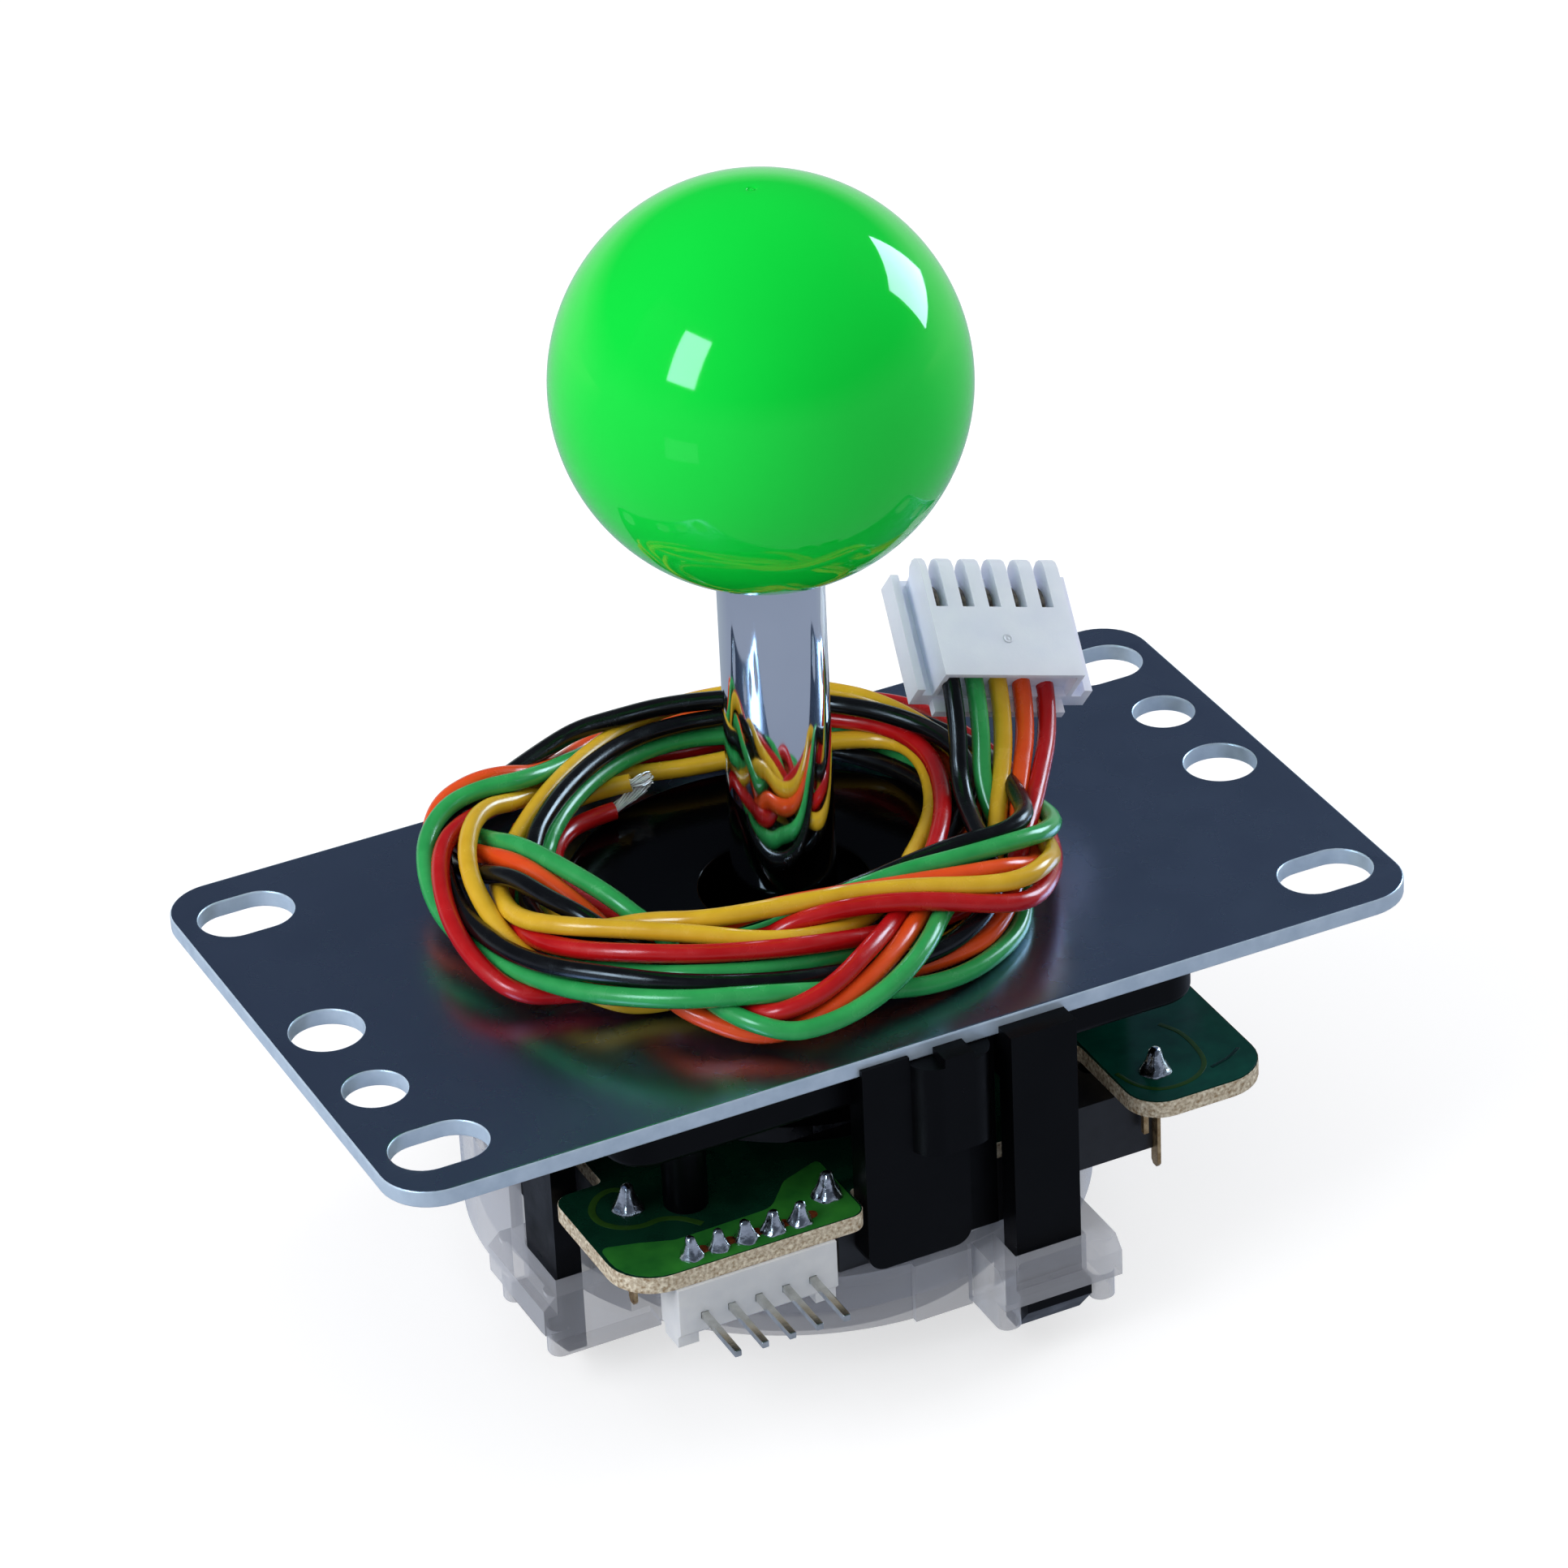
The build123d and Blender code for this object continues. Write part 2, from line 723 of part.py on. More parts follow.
# White header block under the board, with a key rib at each end and bores for the pins
with BuildPart() as header_housing:
    header_width = pin_pitch * (pin_count - 1) + 2 * header_end_margin
    header_middle = -(header_front + header_back) / 2
    with BuildSketch(Plane.XY.offset(board_bottom)):
        with Locations((header_centre, header_middle)):
            Rectangle(header_width, header_depth)
    extrude(amount=-header_height)
    chamfer(header_housing.edges().group_by(Axis.Z)[0].sort_by(Axis.Y)[0], header_key_depth / 2)
    key_shift = header_width / 2 - header_key_width / 2
    with BuildSketch(Plane.XY.offset(board_bottom - header_height)):
        with Locations(
            (header_centre - key_shift, header_middle),
            (header_centre + key_shift, header_middle),
        ):
            Rectangle(header_key_width, header_depth * header_key_share)
    extrude(amount=-header_key_depth)
    for x, y in pin_places:
        with BuildSketch(Plane.YZ.offset(x - pin_width / 2 - press_gap)):
            with BuildLine():
                half = pin_width / 2 + press_gap
                Polyline(
                    (y + half, board_bottom),
                    (y - half, board_bottom),
                    (y - half, pin_axis + half),
                    (-pin_reach, pin_axis + half),
                    (-pin_reach, pin_axis - half),
                    (y + half, pin_axis - half),
                    close=True,
                )
            make_face()
        extrude(amount=2 * half, mode=Mode.SUBTRACT)
finish(header_housing, "header_housing")

# Solder joints on the board's upper face: small ones on the pins, large ones on the blades
with BuildPart() as solder_joints:
    for spots, radius, height in (
        (pin_places, solder_radius, solder_height),
        (terminal_spots, big_solder_radius, big_solder_height),
    ):
        with BuildSketch(Plane.XZ) as joint_profile:
            with BuildLine():
                foot = Line((0, 0), (radius, 0))
                RadiusArc(foot @ 1, (radius * solder_tip_share, height), -solder_flare * height)
                Line((radius * solder_tip_share, height), (0, height))
                Line((0, height), (0, 0))
            make_face()
        joint = revolve(joint_profile.sketch, axis=Axis.Z, mode=Mode.PRIVATE)
        with Locations(*[(x, y, board_top) for x, y in spots]):
            add(joint)
finish(solder_joints, "solder_joints")

# Microswitches: case with hinge ears and plunger bore, domed plunger and hinged lever
for place in switch_places:
    hand = place.hand
    case_x = (place.low_end + place.high_end) / 2
    case_y = -(case_inner + case_outer) / 2
    lever_low = case_middle - lever_width / 2
    with BuildPart() as switch_case:
        with Locations((case_x, case_y, case_middle)):
            Box(case_length, case_outer - case_inner, case_height)
        chamfer(switch_case.edges().filter_by(Axis.Z), case_chamfer)
        with Locations(
            (place.low_end + case_hole_inset, case_y - case_hole_shift, case_top),
            (place.high_end - case_hole_inset, case_y - case_hole_shift, case_top),
        ):
            Hole(case_hole_radius, depth=case_height)
        for ear_z in (
            lever_low - running_gap - ear_thickness,
            lever_low + lever_width + running_gap,
        ):
            with BuildSketch(Plane.XY.offset(ear_z)):
                with Locations((place.hinge_x, place.hinge_y - hinge_stand_off)):
                    Rectangle(2 * ear_half_width, 2 * hinge_stand_off)
                with Locations((place.hinge_x, place.hinge_y)):
                    Circle(ear_half_width)
                    Circle(lever_pin_radius + snap_gap, mode=Mode.SUBTRACT)
            extrude(amount=ear_thickness)
        with BuildSketch(Plane.XZ.offset(case_inner)):
            with Locations((place.plunger_x, case_middle)):
                Circle(plunger_radius + running_gap)
        extrude(amount=plunger_bore_depth, mode=Mode.SUBTRACT)
    switch_case.part = switch_case.part.rotate(Axis.Z, place.turn)
    finish(switch_case, f"switch_case_{place.name}")

    tip_y = place.hinge_y + plunger_offset * tan(place.slope)
    tip_y -= lever_thickness / 2 / cos(place.slope) + plunger_gap
    with BuildPart() as switch_plunger:
        with BuildSketch(Plane.XZ.offset(-tip_y)):
            with Locations((place.plunger_x, case_middle)):
                Circle(plunger_radius)
        extrude(amount=plunger_length)
        fillet(switch_plunger.edges().sort_by(Axis.Y)[-1], plunger_radius * 0.8)
    switch_plunger.part = switch_plunger.part.rotate(Axis.Z, place.turn)
    finish(switch_plunger, f"switch_plunger_{place.name}")

    with BuildPart() as switch_lever:
        lever_run = abs(place.hinge_x) + lever_overhang
        lever_end_y = place.hinge_y + lever_run * tan(place.slope)
        with BuildSketch(Plane.XY.offset(lever_low)):
            with BuildLine():
                lever_line = Line(
                    (place.hinge_x, place.hinge_y), (hand * lever_overhang, lever_end_y)
                )
            trace(lines=lever_line, line_width=lever_thickness)
            with Locations((place.hinge_x, place.hinge_y)):
                Circle(lever_roll_radius)
        extrude(amount=lever_width)
        with BuildSketch(Plane.XY.offset(lever_low - ear_thickness)):
            with Locations((place.hinge_x, place.hinge_y)):
                Circle(lever_pin_radius)
        extrude(amount=lever_width + 2 * ear_thickness)
    switch_lever.part = switch_lever.part.rotate(Axis.Z, place.turn)
    finish(switch_lever, f"switch_lever_{place.name}")

# Eight contact blades of the switches, with tails that pass up through the board
with BuildPart() as switch_terminals:
    for place in switch_places:
        for x, y in place.terminals():
            blade_plane = Plane.XY.offset(board_bottom).rotated((0, 0, place.turn))
            with BuildSketch(blade_plane):
                with Locations((x, y)):
                    Rectangle(terminal_thickness, terminal_width)
            extrude(amount=-terminal_drop)
            with BuildSketch(blade_plane):
                with Locations((x, y)):
                    Rectangle(terminal_thickness, terminal_tail_width)
            extrude(amount=board_thickness)
finish(switch_terminals, "switch_terminals")

# One side of the gate: two round-edged cheeks, the bevelled bar that a leg's hook catches, and a tab
with BuildPart() as gate_side:
    left_cheek = leg_left - free_gap - cheek_thickness / 2
    right_cheek = leg_right + free_gap + cheek_thickness / 2
    cheek_back = gate_radius - cheek_overlap
    with BuildSketch(Plane.XY.offset(cheek_bottom)):
        with Locations((left_cheek, -(cheek_face + cheek_back) / 2)):
            Rectangle(cheek_thickness, cheek_face - cheek_back)
        with Locations((right_cheek, -(cheek_face + lug_back) / 2)):
            Rectangle(cheek_thickness, cheek_face - lug_back)
    extrude(amount=catch_top - cheek_bottom)
    cheek_corners = gate_side.edges().filter_by(Axis.Z).group_by(Axis.Y)[0]
    fillet(cheek_corners, cheek_round)
    bar_back = leg_face + free_gap
    bar_width = right_cheek - left_cheek + cheek_thickness
    with BuildSketch(Plane.YZ.offset(left_cheek - cheek_thickness / 2)):
        with BuildLine():
            Polyline(
                (-bar_back, catch_bottom),
                (-catch_face, catch_bottom),
                (-catch_face, catch_top - catch_bevel),
                (-catch_face + catch_bevel, catch_top),
                (-bar_back, catch_top),
                close=True,
            )
        make_face()
    extrude(amount=bar_width)
    tab_back = gate_radius - gate_tab_inset
    tab_face = gate_radius + gate_tab_reach
    with BuildSketch(Plane.XY.offset(gate_floor_bottom)):
        with Locations(((gate_tab_left + gate_tab_right) / 2, -(tab_back + tab_face) / 2)):
            Rectangle(gate_tab_right - gate_tab_left, tab_face - tab_back)
    extrude(amount=gate_rim_height)

# Clear gate: floor and rim, collar for the guide, tall side lobe and four sides round the legs
with BuildPart() as gate_frame:
    with BuildSketch(Plane.XY.offset(gate_floor_bottom)):
        Circle(gate_radius)
        Circle(gate_throat_radius, mode=Mode.SUBTRACT)
    extrude(amount=gate_floor_thickness)
    with BuildSketch(Plane.XY.offset(gate_floor_bottom)):
        Circle(gate_radius)
        Circle(gate_radius - gate_wall, mode=Mode.SUBTRACT)
    extrude(amount=gate_rim_height)
    with BuildSketch(Plane.XY.offset(gate_bottom)):
        Circle(gate_collar_radius)
        Circle(gate_collar_inner, mode=Mode.SUBTRACT)
    extrude(amount=gate_collar_height)
    with BuildSketch(Plane.XY.offset(gate_bottom)):
        Circle(gate_collar_inner + gate_wall / 2)
        Circle(gate_collar_inner - gate_lip_reach, mode=Mode.SUBTRACT)
    extrude(amount=gate_lip_height)
    lobe_angle = gate_lobe_end - gate_lobe_start
    for inner, height in (
        (gate_lobe_radius - gate_wall, gate_lobe_top - gate_floor_bottom),
        (gate_radius - gate_wall, gate_floor_thickness),
    ):
        with BuildSketch(Plane.XY.offset(gate_floor_bottom).rotated((0, 0, gate_lobe_start))):
            with BuildLine():
                outer_arc = CenterArc((0, 0), gate_lobe_radius, 0, lobe_angle)
                inner_arc = CenterArc((0, 0), inner, 0, lobe_angle)
                Line(outer_arc @ 0, inner_arc @ 0)
                Line(outer_arc @ 1, inner_arc @ 1)
            make_face()
        extrude(amount=height)
    lobe_rim = gate_frame.edges().group_by(Axis.Z)[-1].filter_by(GeomType.CIRCLE)
    chamfer(lobe_rim.sort_by(SortBy.RADIUS)[-1], gate_lobe_bevel)
    pocket_middle = (leg_left + leg_right) / 2
    pocket_width = leg_right - leg_left + 2 * free_gap
    pocket_depth = leg_thickness + free_gap
    for quarter in range(4):
        side = Plane.XY.rotated((0, 0, 90 * quarter))
        with BuildSketch(side.offset(gate_floor_bottom)):
            with Locations((pocket_middle, -leg_face)):
                Rectangle(pocket_width, 2 * pocket_depth)
        extrude(amount=gate_rim_height, mode=Mode.SUBTRACT)
    for quarter in range(4):
        add(gate_side.part.rotate(Axis.Z, 90 * quarter))
finish(gate_frame, "gate_frame")

# Clear guide: square throat for the actuator, held by the collar's lip
with BuildPart() as gate_guide:
    guide_radius = gate_collar_inner - free_gap
    guide_bottom = gate_bottom + gate_lip_height
    guide_top = gate_floor_bottom - snap_gap
    with BuildSketch(Plane.XY.offset(guide_bottom)):
        Circle(guide_radius)
    extrude(amount=guide_floor_thickness)
    with BuildSketch(Plane.XY.offset(guide_bottom)):
        Circle(guide_radius)
        Circle(guide_radius - guide_rim_wall, mode=Mode.SUBTRACT)
    extrude(amount=guide_top - guide_bottom)
    with BuildSketch(Plane.XY.offset(guide_bottom)):
        RectangleRounded(guide_opening + 2 * guide_wall, guide_opening + 2 * guide_wall, guide_corner_radius)
        Circle(guide_radius, mode=Mode.INTERSECT)
    extrude(amount=guide_top - guide_bottom)
    with BuildSketch(Plane.XY.offset(guide_bottom)):
        RectangleRounded(guide_opening, guide_opening, guide_corner_radius)
        Circle(guide_radius - guide_rim_wall, mode=Mode.INTERSECT)
    extrude(amount=guide_top - guide_bottom, mode=Mode.SUBTRACT)
finish(gate_guide, "gate_guide")

# Loose plug: housing with a flat panel, six ribs above it, a wider back and five wire holes
plug_plane = Plane(origin=plug_corner, x_dir=plug_along, z_dir=plug_normal)
wire_places = [pin_pitch * (number - (pin_count - 1) / 2) for number in range(pin_count)]
with BuildPart() as plug_housing:
    with BuildSketch(plug_plane.offset(-plug_body_depth)):
        with Locations((0, plug_height / 2)):
            Rectangle(plug_body_width, plug_height)
    extrude(amount=plug_body_depth)
    crest_point = plug_plane.from_local_coords((0, plug_height, 0))
    fillet(plug_housing.edges().sort_by_distance(crest_point)[0], plug_crest_radius)
    with BuildSketch(plug_plane.offset(-plug_body_depth - plug_back_depth)):
        with Locations((0, plug_height / 2)):
            Rectangle(plug_width, plug_height)
    extrude(amount=plug_back_depth)
    with BuildSketch(plug_plane.offset(-plug_body_depth - plug_back_depth)):
        with Locations((0, 0)):
            Rectangle(plug_tongue_width, 2 * plug_tongue_drop)
    extrude(amount=plug_tongue_depth)
    slot_length_y = plug_height - plug_panel_height
    with BuildSketch(plug_plane):
        for place_x in wire_places:
            with Locations((place_x, plug_panel_height + slot_length_y / 2)):
                Rectangle(pin_pitch - plug_rib_thickness, slot_length_y)
    extrude(amount=-plug_slot_depth, mode=Mode.SUBTRACT)
    with BuildSketch(plug_plane.offset(-plug_wire_depth - plug_hole_width / 2)):
        for place_x in wire_places:
            with Locations((place_x, plug_hole_depth / 2)):
                Rectangle(plug_hole_width, plug_hole_depth)
    extrude(amount=plug_hole_width, mode=Mode.SUBTRACT)
finish(plug_housing, "plug_housing")

# Five contacts on the floors of the plug's slots
with BuildPart() as plug_contacts:
    with BuildSketch(plug_plane.offset(-plug_slot_depth)):
        for place_x in wire_places:
            with Locations((place_x, plug_height - plug_crest_radius - contact_length / 2)):
                Rectangle(contact_width, contact_length)
    extrude(amount=contact_thickness)
finish(plug_contacts, "plug_contacts")

# Harness coil: the outer shape of the five wires' turns, laid on the plate round the washer
with BuildPart() as wire_coil:
    with BuildSketch(Plane.XY.offset(table_gap)):
        with Locations((coil_centre_x, coil_centre_y)):
            Ellipse(coil_outer_x, coil_outer_y)
        with Locations((coil_hole_x, coil_hole_y)):
            Ellipse(coil_inner_x, coil_inner_y, mode=Mode.SUBTRACT)
    extrude(amount=coil_height)
    fillet(wire_coil.edges(), coil_edge)
    with BuildSketch(Plane.XY):
        Circle(washer_radius + free_gap)
    extrude(amount=washer_thickness + table_gap, mode=Mode.SUBTRACT)
finish(wire_coil, "wire_coil")


def cord_radii(points):
    """The largest bend radius that each inner point leaves room for."""
    radii = []
    for before, middle, after in zip(points, points[1:], points[2:]):
        first = Vector(*middle) - Vector(*before)
        second = Vector(*after) - Vector(*middle)
        half_turn = radians(first.get_angle(second)) / 2
        radii.append(0.45 * min(first.length, second.length) / tan(half_turn))
    return radii


def cord_route(points):
    """Straight runs joined by tangent arcs."""
    radii = cord_radii(points)
    with BuildLine() as route:
        FilletPolyline(*points, radius=radii)
    return route.line


# Five loose wires between the plug and the coil
wire_colours = ["black", "green", "yellow", "orange", "red"]
for colour, place_x in zip(wire_colours, wire_places):
    leave = plug_plane.from_local_coords((place_x, plug_hole_depth, -plug_wire_depth))
    bend = plug_plane.from_local_coords((place_x, -wire_drop, -plug_wire_depth))
    wire_foot = Vector(*foot_centre) + Vector(*foot_step) * place_x
    route = cord_route([tuple(leave), tuple(bend), tuple(wire_foot)])
    with BuildPart() as wire:
        with BuildSketch(Plane(route @ 0, z_dir=route % 0)):
            Circle(wire_radius)
        sweep(path=route)
    finish(wire, f"wire_{colour}")

# Two cut ends that show inside the coil, with the tinned strands they end in
toward = Vector(*end_direction).normalized()
for colour, tip in zip(("red", "yellow"), end_tips):
    with BuildPart() as wire_end:
        with BuildSketch(Plane(tip, z_dir=toward)):
            Circle(wire_radius)
        extrude(amount=-end_length)
    finish(wire_end, f"wire_end_{colour}")
with BuildPart() as stripped_wires:
    for tip in end_tips:
        with BuildSketch(Plane(tip, z_dir=toward)):
            Circle(strip_radius)
        extrude(amount=strip_length)
finish(stripped_wires, "stripped_wires")
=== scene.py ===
import json
import math
import random

import bmesh
import bpy
from mathutils import Matrix, Vector

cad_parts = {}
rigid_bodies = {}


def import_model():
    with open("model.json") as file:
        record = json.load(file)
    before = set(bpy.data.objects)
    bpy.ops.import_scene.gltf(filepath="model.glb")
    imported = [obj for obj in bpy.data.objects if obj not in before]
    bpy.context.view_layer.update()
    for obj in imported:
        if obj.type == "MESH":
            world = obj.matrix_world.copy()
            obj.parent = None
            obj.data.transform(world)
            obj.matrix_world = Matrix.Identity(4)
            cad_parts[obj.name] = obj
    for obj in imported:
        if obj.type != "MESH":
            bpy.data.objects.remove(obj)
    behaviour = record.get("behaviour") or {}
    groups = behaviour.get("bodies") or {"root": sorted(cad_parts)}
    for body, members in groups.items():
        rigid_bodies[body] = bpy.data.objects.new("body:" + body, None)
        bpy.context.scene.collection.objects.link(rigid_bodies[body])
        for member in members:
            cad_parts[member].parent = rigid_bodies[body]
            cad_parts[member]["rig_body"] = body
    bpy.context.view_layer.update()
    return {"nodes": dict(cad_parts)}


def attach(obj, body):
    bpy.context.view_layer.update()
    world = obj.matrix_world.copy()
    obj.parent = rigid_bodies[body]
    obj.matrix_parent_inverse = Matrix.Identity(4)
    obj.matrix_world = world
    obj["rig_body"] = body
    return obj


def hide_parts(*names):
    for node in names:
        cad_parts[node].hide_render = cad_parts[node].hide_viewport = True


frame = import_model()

node = frame["nodes"]
mm = 0.001

# The studio: the lever stands on its gate on a pale table, seen from the front left and above through
# a long lens. Soft lights from both sides fall on what is matt. What shines mirrors two windows, a low
# gleam and a room that is dim in front, pale behind and dark overhead.
scene = bpy.context.scene
scene.view_settings.view_transform = "Standard"


def into_scene(name, data):
    """A piece, light or camera of that name, put in the scene."""
    piece = bpy.data.objects.new(name, data)
    scene.collection.objects.link(piece)
    return piece



camera_target = Vector((-13.2, -28.93, 30.0)) * mm
camera_distance = 535.6 * mm
camera_azimuth, camera_elevation, camera_roll = -25.13, 31.14, -2.73
camera_data = bpy.data.cameras.new("camera")
camera_data.lens = 155.3
camera_data.sensor_width = 36.0
camera_data.clip_start = 0.02
camera_data.clip_end = 20.0
camera = into_scene("camera", camera_data)
turn = (
    Matrix.Rotation(math.radians(camera_azimuth), 4, "Z")
    @ Matrix.Rotation(math.radians(90 - camera_elevation), 4, "X")
    @ Matrix.Rotation(math.radians(camera_roll), 4, "Z")
)
camera.matrix_world = Matrix.Translation(camera_target) @ turn @ Matrix.Translation((0, 0, camera_distance))
scene.camera = camera


def add_node(tree, kind, sockets=None, **settings):
    """A shader node with its settings and the plain values of its sockets."""
    made = tree.nodes.new("ShaderNode" + kind)
    for setting, choice in settings.items():
        setattr(made, setting, choice)
    for socket, value in (sockets or {}).items():
        made.inputs[socket].default_value = value
    return made


def two_stops(tree, low, dark, high, light):
    """A ramp that goes from one shade to another between two positions."""
    ramp = add_node(tree, "ValToRGB")
    for stop, position, shade in zip(ramp.color_ramp.elements, (low, high), (dark, light)):
        stop.position = position
        stop.color = shade
    return ramp


def link_up(tree, *pairs):
    """Leads the first socket of each pair into the second."""
    for start, end in pairs:
        tree.links.new(start, end)


dim_wall = (0.3, 0.35, 0.46, 1)
pale_wall = (0.6, 0.7, 0.68, 1)
dark_ceiling = (0.06, 0.075, 0.105, 1)
behind = (0.42, 0.9, 0)
world = bpy.data.worlds.new("pale_room")
scene.world = world
world.use_nodes = True
room = world.node_tree
room.nodes.clear()
room_out = add_node(room, "OutputWorld")
room_fill = add_node(room, "Background", {"Color": (0.98, 0.99, 1.0, 1), "Strength": 0.58})
room_seen = add_node(room, "Background", {"Color": (1, 1, 1, 1)})
room_mirrored = add_node(room, "Background")
room_direction = add_node(room, "TexCoord")
room_height = add_node(room, "SeparateXYZ")
room_ceiling = two_stops(room, 0.02, (0, 0, 0, 1), 0.3, (1, 1, 1, 1))
room_behind = add_node(room, "VectorMath", {1: behind}, operation="DOT_PRODUCT")
room_walls = two_stops(room, 0.1, dim_wall, 0.6, pale_wall)
room_tint = add_node(room, "Mix", {7: dark_ceiling}, data_type="RGBA")
room_ray = add_node(room, "LightPath")
room_sees = add_node(room, "Math", operation="MAXIMUM")
room_first = add_node(room, "MixShader")
room_second = add_node(room, "MixShader")
link_up(
    room,
    (room_direction.outputs["Generated"], room_height.inputs[0]),
    (room_height.outputs["Z"], room_ceiling.inputs[0]),
    (room_direction.outputs["Generated"], room_behind.inputs[0]),
    (room_behind.outputs["Value"], room_walls.inputs[0]),
    (room_ceiling.outputs[0], room_tint.inputs[0]),
    (room_walls.outputs[0], room_tint.inputs[6]),
    (room_tint.outputs[2], room_mirrored.inputs["Color"]),
    (room_ray.outputs["Is Camera Ray"], room_sees.inputs[0]),
    (room_ray.outputs["Is Transmission Ray"], room_sees.inputs[1]),
    (room_ray.outputs["Is Glossy Ray"], room_first.inputs[0]),
    (room_fill.outputs[0], room_first.inputs[1]),
    (room_mirrored.outputs[0], room_first.inputs[2]),
    (room_sees.outputs[0], room_second.inputs[0]),
    (room_first.outputs[0], room_second.inputs[1]),
    (room_seen.outputs[0], room_second.inputs[2]),
    (room_second.outputs[0], room_out.inputs["Surface"]),
)

lit_point = Vector((0, 0, 49.3)) * mm
window_blue = (0.62, 0.82, 1.0)
for light_name, direction, light_distance, light_wide, light_tall, light_power, mirrored in (
    ("left_light", (-0.9, 0.0, 0.5), 0.6, 0.45, 0.45, 2.6, False),
    ("right_light", (0.94, 0.2, 0.5), 0.6, 0.35, 0.45, 1.5, False),
    ("wide_window", (0.946, 0.14, 0.293), 0.55, 0.265, 0.215, 2.6, True),
    ("small_window", (-0.798, -0.268, 0.54), 0.55, 0.16, 0.25, 1.9, True),
    ("low_gleam", (-0.898, -0.392, -0.198), 0.2, 0.06, 0.036, 0.004, True),
):
    light_data = bpy.data.lights.new(light_name, "AREA")
    light_data.shape = "RECTANGLE"
    light_data.size = light_wide
    light_data.size_y = light_tall
    light_data.energy = light_power
    light_data.color = window_blue if mirrored else (1, 1, 1)
    light = into_scene(light_name, light_data)
    light.visible_camera = False
    light.visible_glossy = mirrored
    light.visible_diffuse = not mirrored
    light.visible_transmission = mirrored
    reach = Vector(direction).normalized()
    light.location = lit_point + reach * light_distance
    light.rotation_euler = reach.to_track_quat("Z", "Y").to_euler()


def new_finish(name, colour, roughness, **sockets):
    """A shader with its plain values set on its own sockets."""
    finish = bpy.data.materials.new(name)
    finish.use_nodes = True
    shader = finish.node_tree.nodes["Principled BSDF"]
    shader.inputs["Base Color"].default_value = (*colour, 1)
    shader.inputs["Roughness"].default_value = roughness
    for words, value in sockets.items():
        shader.inputs[words.replace("_", " ")].default_value = value
    return finish


table_half = 1.5
gate_foot, table_gap = -32.0, 0.00002
table_top = gate_foot * mm - table_gap
table_mesh = bpy.data.meshes.new("table")
table_mesh.from_pydata(
    [(x * table_half, y * table_half, table_top) for x, y in ((-1, -1), (1, -1), (1, 1), (-1, 1))],
    [],
    [(0, 1, 2, 3)],
)
table = into_scene("table", table_mesh)
table_paint = new_finish("table_paint", (0.5, 0.5, 0.51), 0.7, Specular_IOR_Level=0.1)
paint = table_paint.node_tree
paint_matt = paint.nodes["Principled BSDF"]
paint_ray = add_node(paint, "LightPath")
paint_lift = add_node(paint, "Emission", {"Strength": 0.62})
paint_seen = add_node(paint, "AddShader")
paint_mirrored = add_node(paint, "Emission")
paint_place = add_node(paint, "TexCoord")
paint_behind = add_node(paint, "VectorMath", {1: behind}, operation="DOT_PRODUCT")
paint_span = add_node(paint, "MapRange", {"From Min": 0.03, "From Max": 0.3})
paint_tint = add_node(paint, "Mix", {6: dim_wall, 7: pale_wall}, data_type="RGBA")
paint_sees = add_node(paint, "Math", operation="MAXIMUM")
paint_first = add_node(paint, "MixShader")
paint_second = add_node(paint, "MixShader")
link_up(
    paint,
    (paint_place.outputs["Object"], paint_behind.inputs[0]),
    (paint_behind.outputs["Value"], paint_span.inputs["Value"]),
    (paint_span.outputs[0], paint_tint.inputs[0]),
    (paint_tint.outputs[2], paint_mirrored.inputs["Color"]),
    (paint_ray.outputs["Is Camera Ray"], paint_sees.inputs[0]),
    (paint_ray.outputs["Is Transmission Ray"], paint_sees.inputs[1]),
    (paint_matt.outputs[0], paint_seen.inputs[0]),
    (paint_lift.outputs[0], paint_seen.inputs[1]),
    (paint_sees.outputs[0], paint_first.inputs[0]),
    (paint_matt.outputs[0], paint_first.inputs[1]),
    (paint_seen.outputs[0], paint_first.inputs[2]),
    (paint_ray.outputs["Is Glossy Ray"], paint_second.inputs[0]),
    (paint_first.outputs[0], paint_second.inputs[1]),
    (paint_mirrored.outputs[0], paint_second.inputs[2]),
    (paint_second.outputs[0], paint.nodes["Material Output"].inputs["Surface"]),
)
table_mesh.materials.append(table_paint)


# The housing is one black moulding: a ribbed flange, the drum that holds the pivot, a wall, a
# round-fronted boss and a hooked leg on each side, and four posts for the board. It is moulded
# glass-filled plastic with a fine spark-eroded grain, and its edges are broken by the mould.
def cloudy(finish, size, detail=3.0):
    """Soft clouds about that many millimetres across, laid through the piece."""
    tree = finish.node_tree
    place = tree.nodes.get("Texture Coordinate") or add_node(tree, "TexCoord")
    clouds = add_node(tree, "TexNoise", {"Scale": 1 / (size * mm), "Detail": detail})
    tree.links.new(place.outputs["Object"], clouds.inputs["Vector"])
    return clouds.outputs["Fac"]


cloud_low, cloud_high = 0.3, 0.7


def vary_colour(finish, size, dark, light):
    """The colour drifts between two shades."""
    tree = finish.node_tree
    ramp = two_stops(tree, cloud_low, (*dark, 1), cloud_high, (*light, 1))
    tree.links.new(cloudy(finish, size), ramp.inputs[0])
    tree.links.new(ramp.outputs[0], tree.nodes["Principled BSDF"].inputs["Base Color"])


def vary_gloss(finish, size, low, high):
    """Roughness drifts between two values, as handling and wear leave it."""
    tree = finish.node_tree
    limits = {"From Min": cloud_low, "From Max": cloud_high, "To Min": low, "To Max": high}
    span = add_node(tree, "MapRange", limits)
    tree.links.new(cloudy(finish, size), span.inputs["Value"])
    tree.links.new(span.outputs[0], tree.nodes["Principled BSDF"].inputs["Roughness"])


